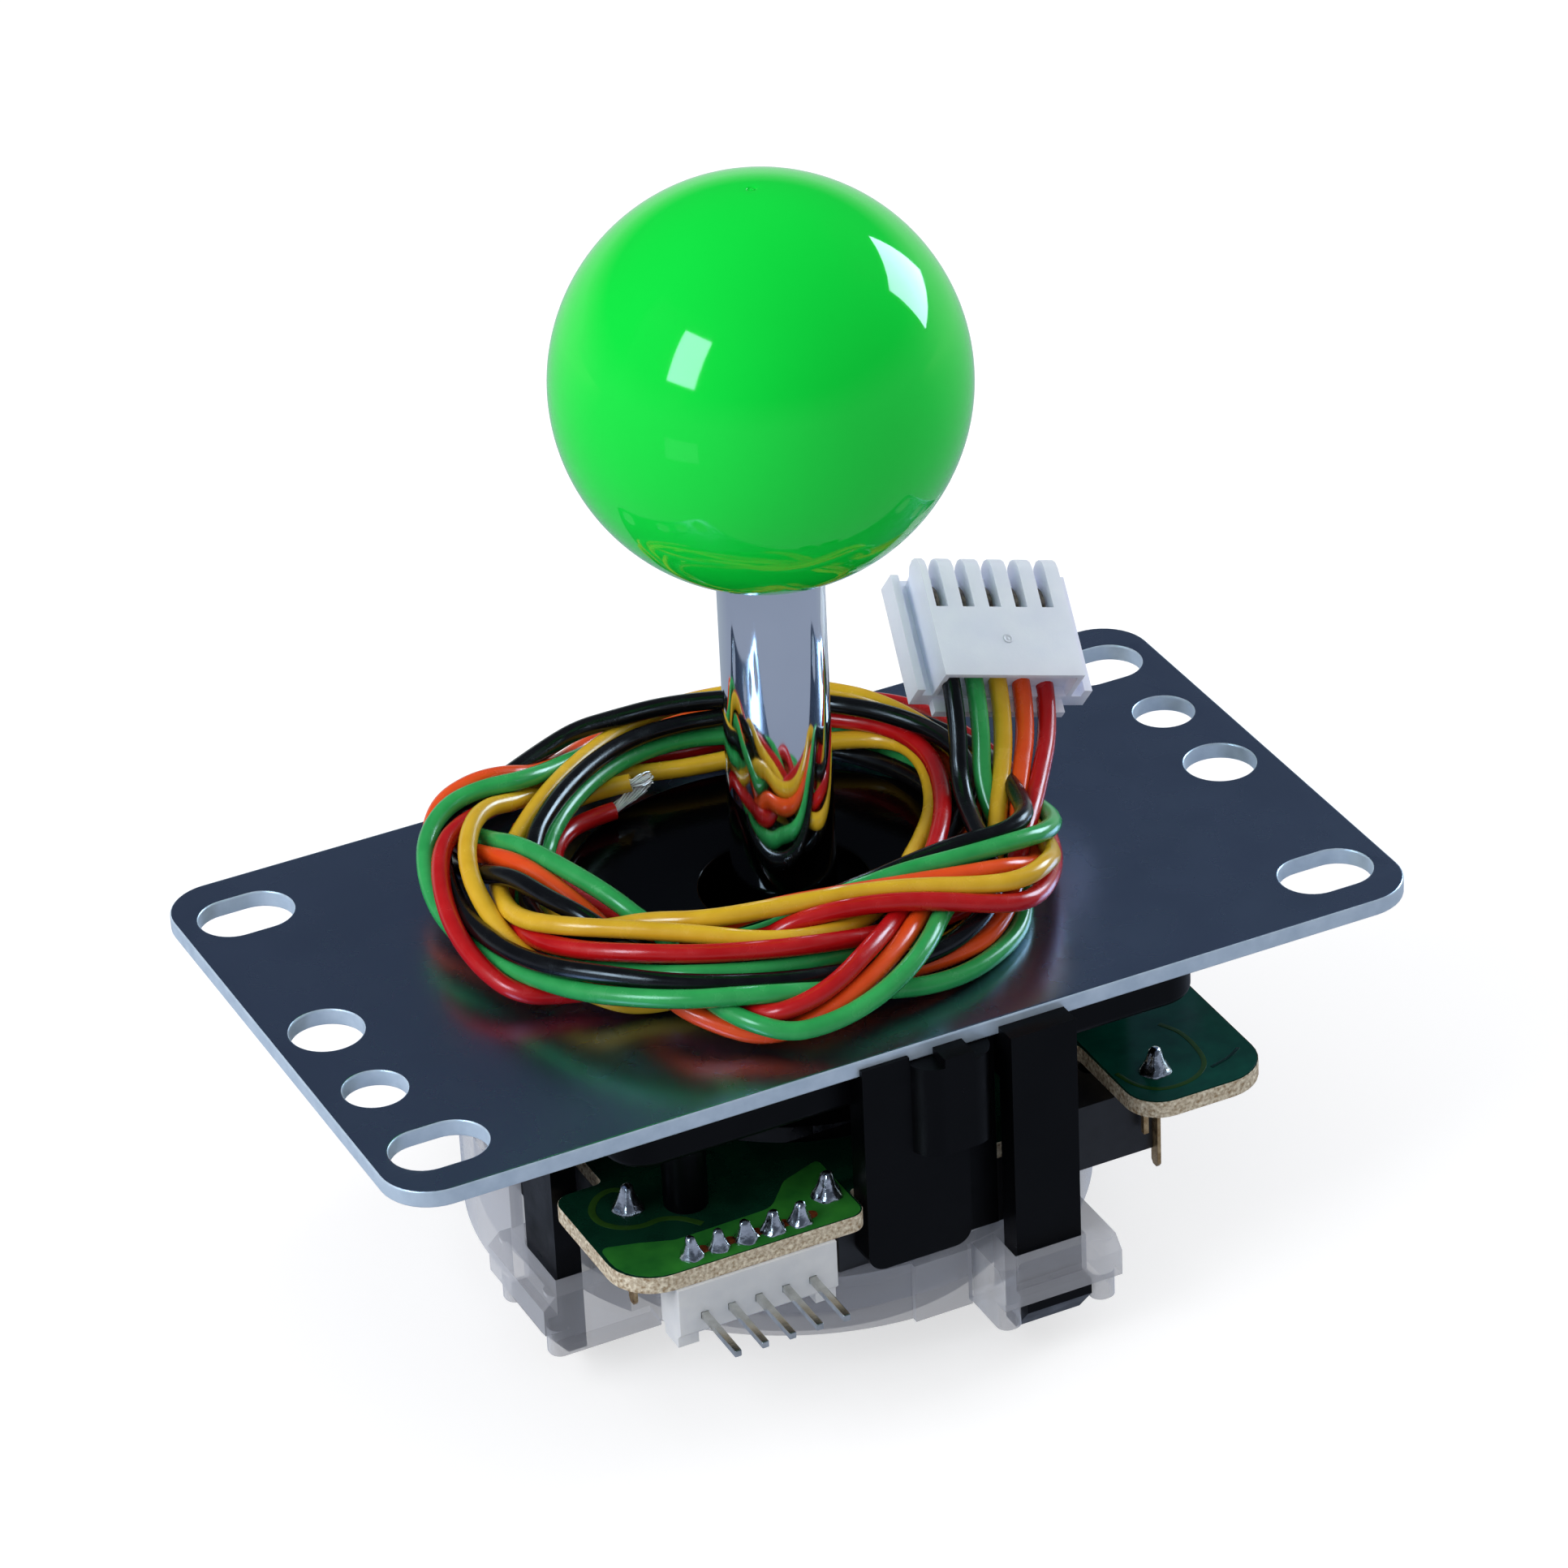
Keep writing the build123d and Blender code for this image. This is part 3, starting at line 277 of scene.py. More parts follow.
def grain(finish, size, depth, strength=1.0, detail=2.0):
    """A fine relief, size and depth in millimetres."""
    tree = finish.node_tree
    relief = add_node(tree, "Bump", {"Strength": strength, "Distance": depth * mm})
    tree.links.new(cloudy(finish, size, detail), relief.inputs["Height"])
    tree.links.new(relief.outputs[0], tree.nodes["Principled BSDF"].inputs["Normal"])


def coat(piece, *finishes):
    """Puts the finishes in the piece's own slots."""
    while len(piece.material_slots) < len(finishes):
        piece.data.materials.append(finishes[0])
    for number, slot in enumerate(piece.material_slots):
        slot.link = "OBJECT"
        slot.material = finishes[min(number, len(finishes) - 1)]


def break_edges(piece, width):
    """Rounds the sharp edges of a piece by that many millimetres."""
    weld = piece.modifiers.new("weld", "WELD")
    weld.merge_threshold = 0.000002
    flatten = piece.modifiers.new("flatten", "DECIMATE")
    flatten.decimate_type = "DISSOLVE"
    flatten.angle_limit = math.radians(0.6)
    edge = piece.modifiers.new("edge", "BEVEL")
    edge.width = width * mm
    edge.segments = 2
    edge.limit_method = "ANGLE"
    edge.angle_limit = math.radians(32)
    shade = piece.modifiers.new("shade", "WEIGHTED_NORMAL")
    shade.keep_sharp = False
    shade.weight = 80


black_moulding = new_finish("black_moulding", (0.002, 0.002, 0.003), 0.34, Specular_IOR_Level=0.12)
vary_colour(black_moulding, 6.0, (0.0008, 0.0008, 0.0012), (0.0018, 0.0018, 0.0025))
vary_gloss(black_moulding, 2.5, 0.27, 0.42)
grain(black_moulding, 0.16, 0.012, 0.6)
coat(node["main_body"], black_moulding)
break_edges(node["main_body"], 0.16)


# The mounting plate is punched from 1.6 mm steel sheet and zinc plated, with four slots, two pairs
# of round holes and the bore for the lever. Its faces are dark and satin; its sheared edges are
# rougher, and their pale blue is a painted reflection of the room. Four countersunk screws under
# the dust washer hold it on the housing.
def arc_points(centre, radius, start, end, steps):
    """Points along an arc, in millimetres and degrees."""
    angles = [math.radians(start + (end - start) * k / steps) for k in range(steps + 1)]
    return [(centre[0] + radius * math.cos(a), centre[1] + radius * math.sin(a)) for a in angles]


def rounded_loop(corners, steps=10):
    """A closed outline through (x, y, radius) corners, each rounded by its own radius."""
    loop = []
    for k, (x, y, radius) in enumerate(corners):
        before = Vector(corners[k - 1][:2])
        here = Vector((x, y))
        after = Vector(corners[(k + 1) % len(corners)][:2])
        come = (before - here).normalized()
        go = (after - here).normalized()
        half = come.angle(go) / 2
        centre = here + (come + go).normalized() * (radius / math.sin(half))
        first = here + come * (radius / math.tan(half)) - centre
        last = here + go * (radius / math.tan(half)) - centre
        swing = first.angle_signed(last)
        for n in range(steps + 1):
            a = -swing * n / steps
            spot = Matrix.Rotation(a, 2) @ first
            loop.append((centre.x + spot.x, centre.y + spot.y))
    return loop


def round_hole(x, y, radius, steps=48):
    """A round outline that runs clockwise."""
    return arc_points((x, y), radius, 360, 0, steps)[:-1]


def long_hole(x, y, length, width):
    """A slot's outline, straight with round ends."""
    half, steps = (length - width) / 2, 20
    right = arc_points((x + half, y), width / 2, 90, -90, steps)
    left = arc_points((x - half, y), width / 2, -90, -270, steps)
    return right + left


def cut_sheet(name, loops, low, high, edge):
    """A flat solid between two heights, cut to loops (the first one round the outside)."""
    outline = bpy.data.curves.new(name, "CURVE")
    outline.dimensions = "2D"
    outline.fill_mode = "BOTH"
    outline.extrude = ((high - low) / 2 - edge) * mm
    outline.bevel_depth = edge * mm
    outline.bevel_resolution = 2
    outline.offset = -edge * mm
    for loop in loops:
        spline = outline.splines.new("POLY")
        spline.points.add(len(loop) - 1)
        for point, (x, y) in zip(spline.points, loop):
            point.co = (x * mm, y * mm, 0, 1)
        spline.use_cyclic_u = True
    pattern = into_scene(name + "_pattern", outline)
    bpy.context.view_layer.update()
    mesh = bpy.data.meshes.new_from_object(pattern.evaluated_get(bpy.context.evaluated_depsgraph_get()))
    bpy.data.objects.remove(pattern)
    mesh.transform(Matrix.Translation((0, 0, (low + high) / 2 * mm)))
    mesh.name = name
    solid = into_scene(name, mesh)
    shell = bmesh.new()
    shell.from_mesh(mesh)
    bmesh.ops.remove_doubles(shell, verts=shell.verts, dist=0.000001)
    bmesh.ops.recalc_face_normals(shell, faces=shell.faces)
    shell.to_mesh(mesh)
    shell.free()
    for face in mesh.polygons:
        face.use_smooth = True
    shade = solid.modifiers.new("shade", "WEIGHTED_NORMAL")
    shade.weight = 80
    return solid


def face_slots(piece, level=0.95):
    """Flat faces take the first finish and the rims the second."""
    for face in piece.data.polygons:
        face.material_index = 0 if abs(face.normal.z) > level else 1


half_length, half_width, corner, plate_thickness = 47.5, 26.5, 4.5, 1.6
slot_length, slot_width, slot_x, slot_y = 8.4, 5.9, 41.5, 20.25
end_hole_x, diagonal_hole_y, bore_radius, screw_xy = 42.7, 10.1, 10.0, (-9.4, 9.4)
plate_loops = [
    rounded_loop([
        (half_length, -half_width, corner), (half_length, half_width, corner),
        (-half_length, half_width, corner), (-half_length, -half_width, corner),
    ]),
    *(long_hole(x, y, slot_length, slot_width) for y in (slot_y, -slot_y) for x in (slot_x, -slot_x)),
    round_hole(end_hole_x, 0, 3.15),
    round_hole(-end_hole_x, 0, 3.15),
    round_hole(end_hole_x, diagonal_hole_y, 2.7),
    round_hole(-end_hole_x, -diagonal_hole_y, 2.7),
    round_hole(0, 0, bore_radius, 64),
    *(round_hole(x, y, 2.0) for x in screw_xy for y in screw_xy),
]
plate = cut_sheet("plate", plate_loops, -plate_thickness, 0.0, 0.22)
zinc_face = new_finish("zinc_face", (0.34, 0.41, 0.57), 0.27, Metallic=1.0)
vary_colour(zinc_face, 9.0, (0.322, 0.398, 0.55), (0.348, 0.425, 0.59))
vary_gloss(zinc_face, 6.0, 0.258, 0.285)
grain(zinc_face, 0.22, 0.008, 0.35)
# The rims are rougher, and their pale blue colour is a painted reflection of the room.
zinc_edge_painted_sheen = new_finish("zinc_edge_painted_sheen", (0.62, 0.76, 0.92), 0.36, Metallic=0.35)
vary_colour(zinc_edge_painted_sheen, 1.6, (0.5, 0.63, 0.78), (0.62, 0.75, 0.9))
vary_gloss(zinc_edge_painted_sheen, 0.8, 0.28, 0.42)
grain(zinc_edge_painted_sheen, 0.3, 0.006, 0.4)
coat(plate, zinc_face, zinc_edge_painted_sheen)
face_slots(plate)
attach(plate, "housing")
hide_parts("mounting_plate")

screw_steel = new_finish("screw_steel", (0.5, 0.52, 0.55), 0.3, Metallic=1.0)
vary_colour(screw_steel, 1.0, (0.4, 0.42, 0.45), (0.6, 0.62, 0.64))
grain(screw_steel, 0.3, 0.01, 0.5)
coat(node["plate_screws"], screw_steel)
break_edges(node["plate_screws"], 0.08)


# The dust washer is a flat disc of black nylon, cut from sheet with a polished face. It lies loose
# on the plate round the shaft and shuts the bore.
def solid_from(name, shell):
    """The piece that a finished shell of faces makes, shaded smooth."""
    mesh = bpy.data.meshes.new(name)
    shell.to_mesh(mesh)
    shell.free()
    for face in mesh.polygons:
        face.use_smooth = True
    return into_scene(name, mesh)


def turned(name, profile, steps=96):
    """A solid of revolution from (radius, height) points, in millimetres."""
    shell = bmesh.new()
    rings = []
    for radius, height in profile:
        if radius == 0:
            rings.append([shell.verts.new((0, 0, height * mm))])
            continue
        rings.append([
            shell.verts.new((
                radius * math.cos(2 * math.pi * k / steps) * mm,
                radius * math.sin(2 * math.pi * k / steps) * mm,
                height * mm,
            ))
            for k in range(steps)
        ])
    closed = profile[0][0] > 0 and profile[-1][0] > 0
    pairs = list(zip(rings, rings[1:])) + ([(rings[-1], rings[0])] if closed else [])
    for first, second in pairs:
        for k in range(steps):
            n = (k + 1) % steps
            corners = [
                ring[i % len(ring)] for ring, i in ((first, k), (first, n), (second, n), (second, k))
            ]
            corners = [v for i, v in enumerate(corners) if v not in corners[:i]]
            if len(corners) > 2:
                shell.faces.new(corners)
    bmesh.ops.recalc_face_normals(shell, faces=shell.faces)
    return solid_from(name, shell)


washer = turned("washer", [
    (7.4, 0.12), (7.52, 0.02), (19.1, 0.02), (19.3, 0.2), (19.3, 0.62), (19.22, 0.82), (19.05, 0.95),
    (18.85, 1.0), (18.5, 1.0), (7.7, 1.0), (7.5, 0.96), (7.4, 0.86),
], 128)
washer_black = new_finish("washer_black", (0.0006, 0.0006, 0.0008), 0.12, Specular_IOR_Level=0.12)
vary_gloss(washer_black, 5.0, 0.09, 0.16)
grain(washer_black, 0.5, 0.02, 0.5)
coat(washer, washer_black)
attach(washer, "housing")
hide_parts("dust_washer")


# The pivot is a turned and polished ball zone that rocks in the drum. A flat seat, an open coil
# spring and the actuator's cup hang under it on the shaft, held by a snapped-in ring.
pivot_black = new_finish("pivot_black", (0.001, 0.001, 0.0012), 0.22, Specular_IOR_Level=0.12)
vary_gloss(pivot_black, 1.5, 0.16, 0.3)
grain(pivot_black, 0.3, 0.006, 0.4)
coat(node["pivot_ball"], pivot_black)
break_edges(node["pivot_ball"], 0.15)
seat_steel = new_finish("seat_steel", (0.45, 0.47, 0.5), 0.3, Metallic=1.0)
vary_gloss(seat_steel, 1.5, 0.22, 0.4)
grain(seat_steel, 0.5, 0.01, 0.5)
coat(node["spring_seat"], seat_steel)
break_edges(node["spring_seat"], 0.12)


def round_line(name, radius, fineness):
    """A round curve with closed ends, its radius in millimetres."""
    line = bpy.data.curves.new(name, "CURVE")
    line.dimensions = "3D"
    line.bevel_depth = radius * mm
    line.bevel_resolution = fineness
    line.use_fill_caps = True
    return line


spring_low, spring_high, coil_radius, coil_wire_radius, spring_turns = -20.9, -15.1, 6.3, 0.45, 4
coil_line = round_line("spring", coil_wire_radius, 3)
coil_spline = coil_line.splines.new("POLY")
coil_steps = spring_turns * 32
coil_spline.points.add(coil_steps)
for k, point in enumerate(coil_spline.points):
    a = 2 * math.pi * spring_turns * k / coil_steps
    rise = spring_low + (spring_high - spring_low) * k / coil_steps
    point.co = (coil_radius * math.cos(a) * mm, coil_radius * math.sin(a) * mm, rise * mm, 1)
spring = into_scene("spring", coil_line)
spring_steel = new_finish("spring_steel", (0.42, 0.43, 0.45), 0.25, Metallic=1.0)
vary_colour(spring_steel, 1.0, (0.32, 0.33, 0.35), (0.5, 0.51, 0.53))
grain(spring_steel, 0.15, 0.006, 0.5)
coat(spring, spring_steel)
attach(spring, node["return_spring"]["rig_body"])
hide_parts("return_spring")

actuator_black = new_finish("actuator_black", (0.018, 0.018, 0.02), 0.32)
vary_gloss(actuator_black, 2.0, 0.24, 0.42)
grain(actuator_black, 0.25, 0.01, 0.5)
coat(node["actuator"], actuator_black)
break_edges(node["actuator"], 0.2)
coat(node["retaining_ring"], spring_steel)
break_edges(node["retaining_ring"], 0.08)


# The shaft is turned from steel bar, stepped down below its shoulder, ground and chrome plated. Its
# upper thread screws into the ball's insert.
shaft_profile = [
    (0, -29.6), (3.1, -29.6), (3.5, -29.2), (3.5, -28.5), (2.8, -28.5), (2.8, -27.6), (3.5, -27.6),
    (3.5, -5.2), (3.6, -5.05), (4.4, -5.05), (4.55, -4.9), (4.55, 31.8), (4.5, 32.1), (4.4, 32.3),
    (4.25, 32.45), (3.0, 32.5), (3.0, 43.7), (2.6, 44.09), (0, 44.09),
]
shaft = turned("shaft", shaft_profile, 96)
shaft_edges = shaft.modifiers.new("edge", "BEVEL")
shaft_edges.width = 0.06 * mm
shaft_edges.segments = 2
shaft_edges.limit_method = "ANGLE"
shaft_edges.angle_limit = math.radians(30)
shaft.modifiers.new("shade", "WEIGHTED_NORMAL")
chrome = new_finish("chrome", (0.78, 0.8, 0.83), 0.045, Metallic=1.0)
vary_colour(chrome, 12.0, (0.74, 0.765, 0.8), (0.82, 0.84, 0.865))
vary_gloss(chrome, 4.0, 0.03, 0.07)
grain(chrome, 1.2, 0.001, 0.3)
coat(shaft, chrome)
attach(shaft, "shaft_and_ball")
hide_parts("shaft")


# The ball is moulded in solid green plastic round a threaded brass insert, tumbled and polished to
# a high gloss. A small mark where the plastic was let in is left on its crown.
ball_radius, ball_centre, ball_flat = 17.5, 49.3, 5.2
low_angle = -math.degrees(math.acos(ball_flat / ball_radius))
ball_profile = [(4.42, 46.6), (4.42, 32.8), (4.6, 32.62), (5.0, 32.6)]
ball_steps = 72
top_angle = 88.4
for k in range(ball_steps + 1):
    a = math.radians(low_angle + (top_angle - low_angle) * k / ball_steps)
    ball_profile.append((ball_radius * math.cos(a), ball_centre + ball_radius * math.sin(a)))
crown = ball_centre + ball_radius
ball_profile += [
    (0.42, crown - 0.02), (0.38, crown - 0.1), (0.3, crown - 0.14), (0.2, crown - 0.13),
    (0.14, crown - 0.04), (0.07, crown - 0.01), (0, crown - 0.01),
]
ball = turned("ball", [(0, 46.6)] + ball_profile, 144)
ball_green = new_finish(
    "ball_green", (0.004, 0.74, 0.052), 0.05, IOR=1.5, Specular_IOR_Level=0.42
)
vary_colour(ball_green, 22.0, (0.003, 0.72, 0.048), (0.005, 0.76, 0.056))
vary_gloss(ball_green, 6.0, 0.04, 0.08)
grain(ball_green, 7.0, 0.01, 0.15)
coat(ball, ball_green)
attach(ball, "shaft_and_ball")
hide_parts("ball_top")

insert_brass = new_finish("insert_brass", (0.55, 0.4, 0.16), 0.3, Metallic=1.0)
vary_colour(insert_brass, 1.5, (0.45, 0.32, 0.12), (0.62, 0.46, 0.2))
grain(insert_brass, 0.3, 0.01, 0.5)
coat(node["ball_insert"], insert_brass)
break_edges(node["ball_insert"], 0.1)


# The circuit board is glass-fibre laminate cut to four lobes, with green solder mask on both faces
# and a raw cream edge left by the router. Copper areas and tracks stand slightly over its upper face
# under the mask. The pins and blades are soldered there in bright tin, with brown flux at the pins.
board_corners = [
    (-29.0, -13.0, 1.6), (-29.0, -28.0, 4.2), (-6.9, -28.0, 1.4), (-6.9, -24.3, 0.6), (13.4, -24.3, 0.6),
    (13.4, -14.0, 1.2), (20.2, -14.0, 1.2), (20.2, -26.2, 3.2), (33.2, -26.2, 4.2), (33.2, -6.9, 1.1),
    (24.3, -6.9, 0.6), (24.3, 13.0, 0.6),
    (29.0, 13.0, 1.1), (29.0, 27.0, 3.0), (6.9, 27.0, 1.1), (6.9, 24.3, 0.6), (-13.0, 24.3, 0.6),
    (-13.0, 27.0, 1.1), (-29.0, 27.0, 3.0), (-29.0, 6.9, 1.1), (-24.3, 6.9, 0.6), (-24.3, -13.0, 0.6),
]
board_top, board_bottom = -14.0, -15.6
board_loops = [rounded_loop(board_corners, 8), round_hole(0, 0, 17.4, 72)]
board = cut_sheet("board", board_loops, board_bottom, board_top, 0.08)
# The mask is painted darker than its own green, as painted shade on the board's rear under the housing.
mask_green_and_painted_shade = new_finish("mask_green_and_painted_shade", (0.003, 0.03, 0.016), 0.2, Specular_IOR_Level=0.3)
vary_colour(mask_green_and_painted_shade, 3.0, (0.002, 0.022, 0.012), (0.004, 0.04, 0.02))
vary_gloss(mask_green_and_painted_shade, 2.0, 0.14, 0.28)
grain(mask_green_and_painted_shade, 0.5, 0.01, 0.4)
fibre_edge = new_finish("fibre_edge", (0.75, 0.66, 0.5), 0.75)
vary_colour(fibre_edge, 0.35, (0.34, 0.23, 0.12), (0.95, 0.88, 0.72))
grain(fibre_edge, 0.25, 0.15, 1.0, 4.0)
coat(board, mask_green_and_painted_shade, fibre_edge)
face_slots(board)
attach(board, "housing")
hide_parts("circuit_board")


def ribbon(points, width, steps=6):
    """The outline of a strip of that width along a smooth line through the points."""
    line = []
    for k in range(len(points) - 1):
        before, first = Vector(points[max(k - 1, 0)]), Vector(points[k])
        last, after = Vector(points[k + 1]), Vector(points[min(k + 2, len(points) - 1)])
        for n in range(steps):
            t = n / steps
            lead, trail = (last - before) / 2, (after - first) / 2
            line.append(
                (2 * t**3 - 3 * t**2 + 1) * first + (t**3 - 2 * t**2 + t) * lead
                + (3 * t**2 - 2 * t**3) * last + (t**3 - t**2) * trail
            )
    line.append(Vector(points[-1]))
    left, right = [], []
    for k, spot in enumerate(line):
        along = (line[min(k + 1, len(line) - 1)] - line[max(k - 1, 0)]).normalized()
        across = Vector((-along.y, along.x)) * width / 2
        left.append(tuple(spot + across))
        right.append(tuple(spot - across))
    return left + right[::-1]


copper_rise = 0.035
curl = [
    (-22.9, -15.4), (-24.1, -14.4), (-25.7, -14.9), (-26.9, -16.5), (-26.9, -18.3), (-25.8, -19.7),
    (-24.1, -20.4), (-22.4, -20.3), (-20.9, -21.0), (-19.6, -22.6),
]
far_curl = [
    (27.8, -15.3), (28.7, -17.3), (28.8, -19.8), (28.3, -22.3), (26.9, -23.8), (24.9, -24.4), (22.8, -24.0),
    (21.5, -22.4), (20.9, -20.2),
]
# The front copper area's outline also bounds the painted light on the front of the board.
lit_front_pour = rounded_loop([
    (-28.6, -21.6, 0.6), (-25.4, -22.5, 1.6), (-22.6, -23.6, 1.6), (-13.6, -23.4, 2.0), (-11.0, -20.4, 1.6),
    (-7.1, -19.0, 0.4), (-7.1, -27.85, 1.2), (-28.85, -27.85, 4.0),
], 6)
shaded_right_pour = rounded_loop([
    (20.5, -9.0, 0.5), (33.05, -9.0, 0.5), (33.05, -26.05, 4.0), (20.35, -26.05, 3.0),
], 6)
short_track = [(28.4, -23.4), (30.4, -22.8), (31.9, -21.9)]
# The front copper area's bright green is partly its own colour under the mask and partly painted light
# where light falls on the board's front; the right copper area's darker teal is painted shade on the shaded
# right lobe.
for name, outline, rise, dark, light in (
    ("copper_front_painted_lit", lit_front_pour, 1, (0.012, 0.12, 0.02), (0.035, 0.24, 0.03)),
    ("copper_right_painted_shade", shaded_right_pour, 1, (0.002, 0.045, 0.03), (0.003, 0.085, 0.055)),
    ("track_left", ribbon(curl, 0.62), 1, (0.016, 0.055, 0.008), (0.028, 0.085, 0.012)),
    ("track_right", ribbon(far_curl, 0.45), 2, (0.012, 0.05, 0.008), (0.03, 0.085, 0.014)),
    ("track_short", ribbon(short_track, 0.3), 2, (0.001, 0.02, 0.014), (0.002, 0.03, 0.02)),
):
    piece = cut_sheet(name, [outline], board_top, board_top + rise * copper_rise, 0.008)
    copper_mask = new_finish(name + "_mask", light, 0.2, Specular_IOR_Level=0.2)
    vary_colour(copper_mask, 4.0, dark, light)
    grain(copper_mask, 0.4, 0.01, 0.4)
    coat(piece, copper_mask)
    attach(piece, "housing")

pin_middle, pin_pitch, pin_row = -17.4, 2.5, -26.3
pin_spots = [(pin_middle + pin_pitch * k, pin_row) for k in (-2, -1, 0, 1, 2)]
outer_row, inner_row, past_end = -24.0, -21.9, 0.25
blade_spots = []
for turned_by, low, high, outer in (
    (0, -8.5, 11.3, -1), (90, -21.15, -1.35, -1), (180, -8.5, 11.3, -1), (270, -2.65, 17.15, 1),
):
    low_y, high_y = (outer_row, inner_row) if outer < 0 else (inner_row, outer_row)
    for x, y in ((low - past_end, low_y), (high + past_end, high_y)):
        spot = Matrix.Rotation(math.radians(turned_by), 2) @ Vector((x, y))
        blade_spots.append((spot.x, spot.y))

random.seed(7)
flux_foot, flux_thickness, flux_radius = board_top + copper_rise, 0.04, 0.55
flux_spots = [round_hole(x + 1.2, y + 0.35, flux_radius, 20) for x, y in pin_spots]
flux = cut_sheet("flux", flux_spots, flux_foot, flux_foot + flux_thickness, 0.015)
flux_brown = new_finish("flux_brown", (0.16, 0.035, 0.012), 0.2)
vary_colour(flux_brown, 0.6, (0.07, 0.012, 0.005), (0.28, 0.07, 0.02))
grain(flux_brown, 0.3, 0.05, 0.8)
coat(flux, flux_brown)
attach(flux, "housing")

bead_steps, bead_sunk, bead_lean = 28, 0.02, 0.12
big_lump, small_lump = 0.09, 0.05
bead_shape = (
    (0, 1.0), (0.04, 1.0), (0.12, 0.9), (0.28, 0.72), (0.5, 0.55), (0.72, 0.44), (0.88, 0.36), (0.97, 0.24),
)
bead = bmesh.new()
for spots, foot, tall, tip in ((pin_spots, 1.14, 2.0, 0.34), (blade_spots, 1.5, 2.4, 0.44)):
    for x, y in spots:
        lean = random.uniform(0, 2 * math.pi)
        swell = random.uniform(0.9, 1.08)
        rows = []
        for share, wide in bead_shape:
            row = []
            for k in range(bead_steps):
                a = 2 * math.pi * k / bead_steps
                threefold = big_lump * math.sin(3 * a + lean) * (share > 0.05)
                lump = 1 + threefold + small_lump * math.sin(5 * a - lean)
                radius = max(tip * 0.6, foot * wide * swell * lump) if share < 0.9 else tip * wide * 2.2
                row.append(bead.verts.new((
                    (x + radius * math.cos(a) + bead_lean * share * math.cos(lean)) * mm,
                    (y + radius * math.sin(a) + bead_lean * share * math.sin(lean)) * mm,
                    (board_top - bead_sunk + tall * share) * mm,
                )))
            rows.append(row)
        for below, above in zip(rows, rows[1:]):
            for k in range(bead_steps):
                n = (k + 1) % bead_steps
                bead.faces.new((below[k], below[n], above[n], above[k]))
        bead.faces.new(rows[-1])
        bead.faces.new(rows[0][::-1])
solder = solid_from("solder", bead)
bright_tin = new_finish("bright_tin", (0.72, 0.73, 0.74), 0.14, Metallic=1.0)
vary_colour(bright_tin, 0.8, (0.55, 0.56, 0.58), (0.82, 0.83, 0.84))
vary_gloss(bright_tin, 0.5, 0.08, 0.3)
grain(bright_tin, 0.5, 0.06, 0.8)
coat(solder, bright_tin)
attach(solder, "housing")
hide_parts("solder_joints")


# The header is a white nylon block under the board's front edge, with five square tinned pins bent
# through it. The harness's plug would push on to them.
header_white = new_finish(
    "header_white", (0.78, 0.8, 0.84), 0.38, Subsurface_Weight=0.25, Subsurface_Scale=0.002,
    Subsurface_Radius=(1.0, 0.95, 0.85),
)
vary_colour(header_white, 2.0, (0.74, 0.765, 0.81), (0.82, 0.84, 0.87))
grain(header_white, 0.3, 0.01, 0.5)
coat(node["header_housing"], header_white)
break_edges(node["header_housing"], 0.18)
pin_tin = new_finish("pin_tin", (0.62, 0.62, 0.58), 0.22, Metallic=1.0)
vary_colour(pin_tin, 0.9, (0.5, 0.5, 0.46), (0.72, 0.72, 0.68))
grain(pin_tin, 0.2, 0.01, 0.5)
coat(node["header_pins"], pin_tin)
break_edges(node["header_pins"], 0.09)


# Four microswitches are soldered under the board, one on each side of the lever: a black case, a
# domed plunger and a spring-steel lever on a hinge pin. Their thin brass blades hang from the board
# with chamfered feet, and one short stub hangs beside the right lobe.
case_black = new_finish("case_black", (0.012, 0.012, 0.014), 0.4)
vary_gloss(case_black, 1.5, 0.32, 0.5)
grain(case_black, 0.15, 0.012, 0.6)
plunger_red = new_finish("plunger_plastic", (0.5, 0.03, 0.025), 0.35)
vary_gloss(plunger_red, 0.6, 0.25, 0.45)
grain(plunger_red, 0.15, 0.006, 0.5)
lever_steel = new_finish("lever_steel", (0.6, 0.61, 0.62), 0.24, Metallic=1.0)
vary_gloss(lever_steel, 1.0, 0.18, 0.34)
grain(lever_steel, 0.25, 0.006, 0.5)
for side in ("front", "right", "rear", "left"):
    coat(node[f"switch_case_{side}"], case_black)
    break_edges(node[f"switch_case_{side}"], 0.2)
    coat(node[f"switch_plunger_{side}"], plunger_red)
    coat(node[f"switch_lever_{side}"], lever_steel)
blade_brass = new_finish("blade_brass", (0.55, 0.36, 0.16), 0.34, Metallic=0.8)
vary_colour(blade_brass, 0.7, (0.34, 0.2, 0.08), (0.72, 0.52, 0.28))
vary_gloss(blade_brass, 0.5, 0.22, 0.45)
grain(blade_brass, 0.2, 0.015, 0.6)
blade_thick, blade_wide, blade_top, blade_foot = 0.35, 1.2, board_bottom - 0.02, -23.7
foot_rise, foot_cut = 0.4, 0.3


def prism(name, start, end, outline):
    """A solid with one (y, z) outline along x, in millimetres."""
    shell = bmesh.new()
    ends = [[shell.verts.new((x * mm, y * mm, z * mm)) for y, z in outline] for x in (start, end)]
    shell.faces.new(ends[0])
    shell.faces.new(ends[1][::-1])
    for k in range(len(outline)):
        n = (k + 1) % len(outline)
        shell.faces.new((ends[0][n], ends[0][k], ends[1][k], ends[1][n]))
    bmesh.ops.recalc_face_normals(shell, faces=shell.faces)
    mesh = bpy.data.meshes.new(name)
    shell.to_mesh(mesh)
    shell.free()
    return into_scene(name, mesh)


def join_all(pieces):
    """One piece from several that stand apart or touch."""
    with bpy.context.temp_override(active_object=pieces[0], selected_editable_objects=pieces):
        bpy.ops.object.join()
    return pieces[0]


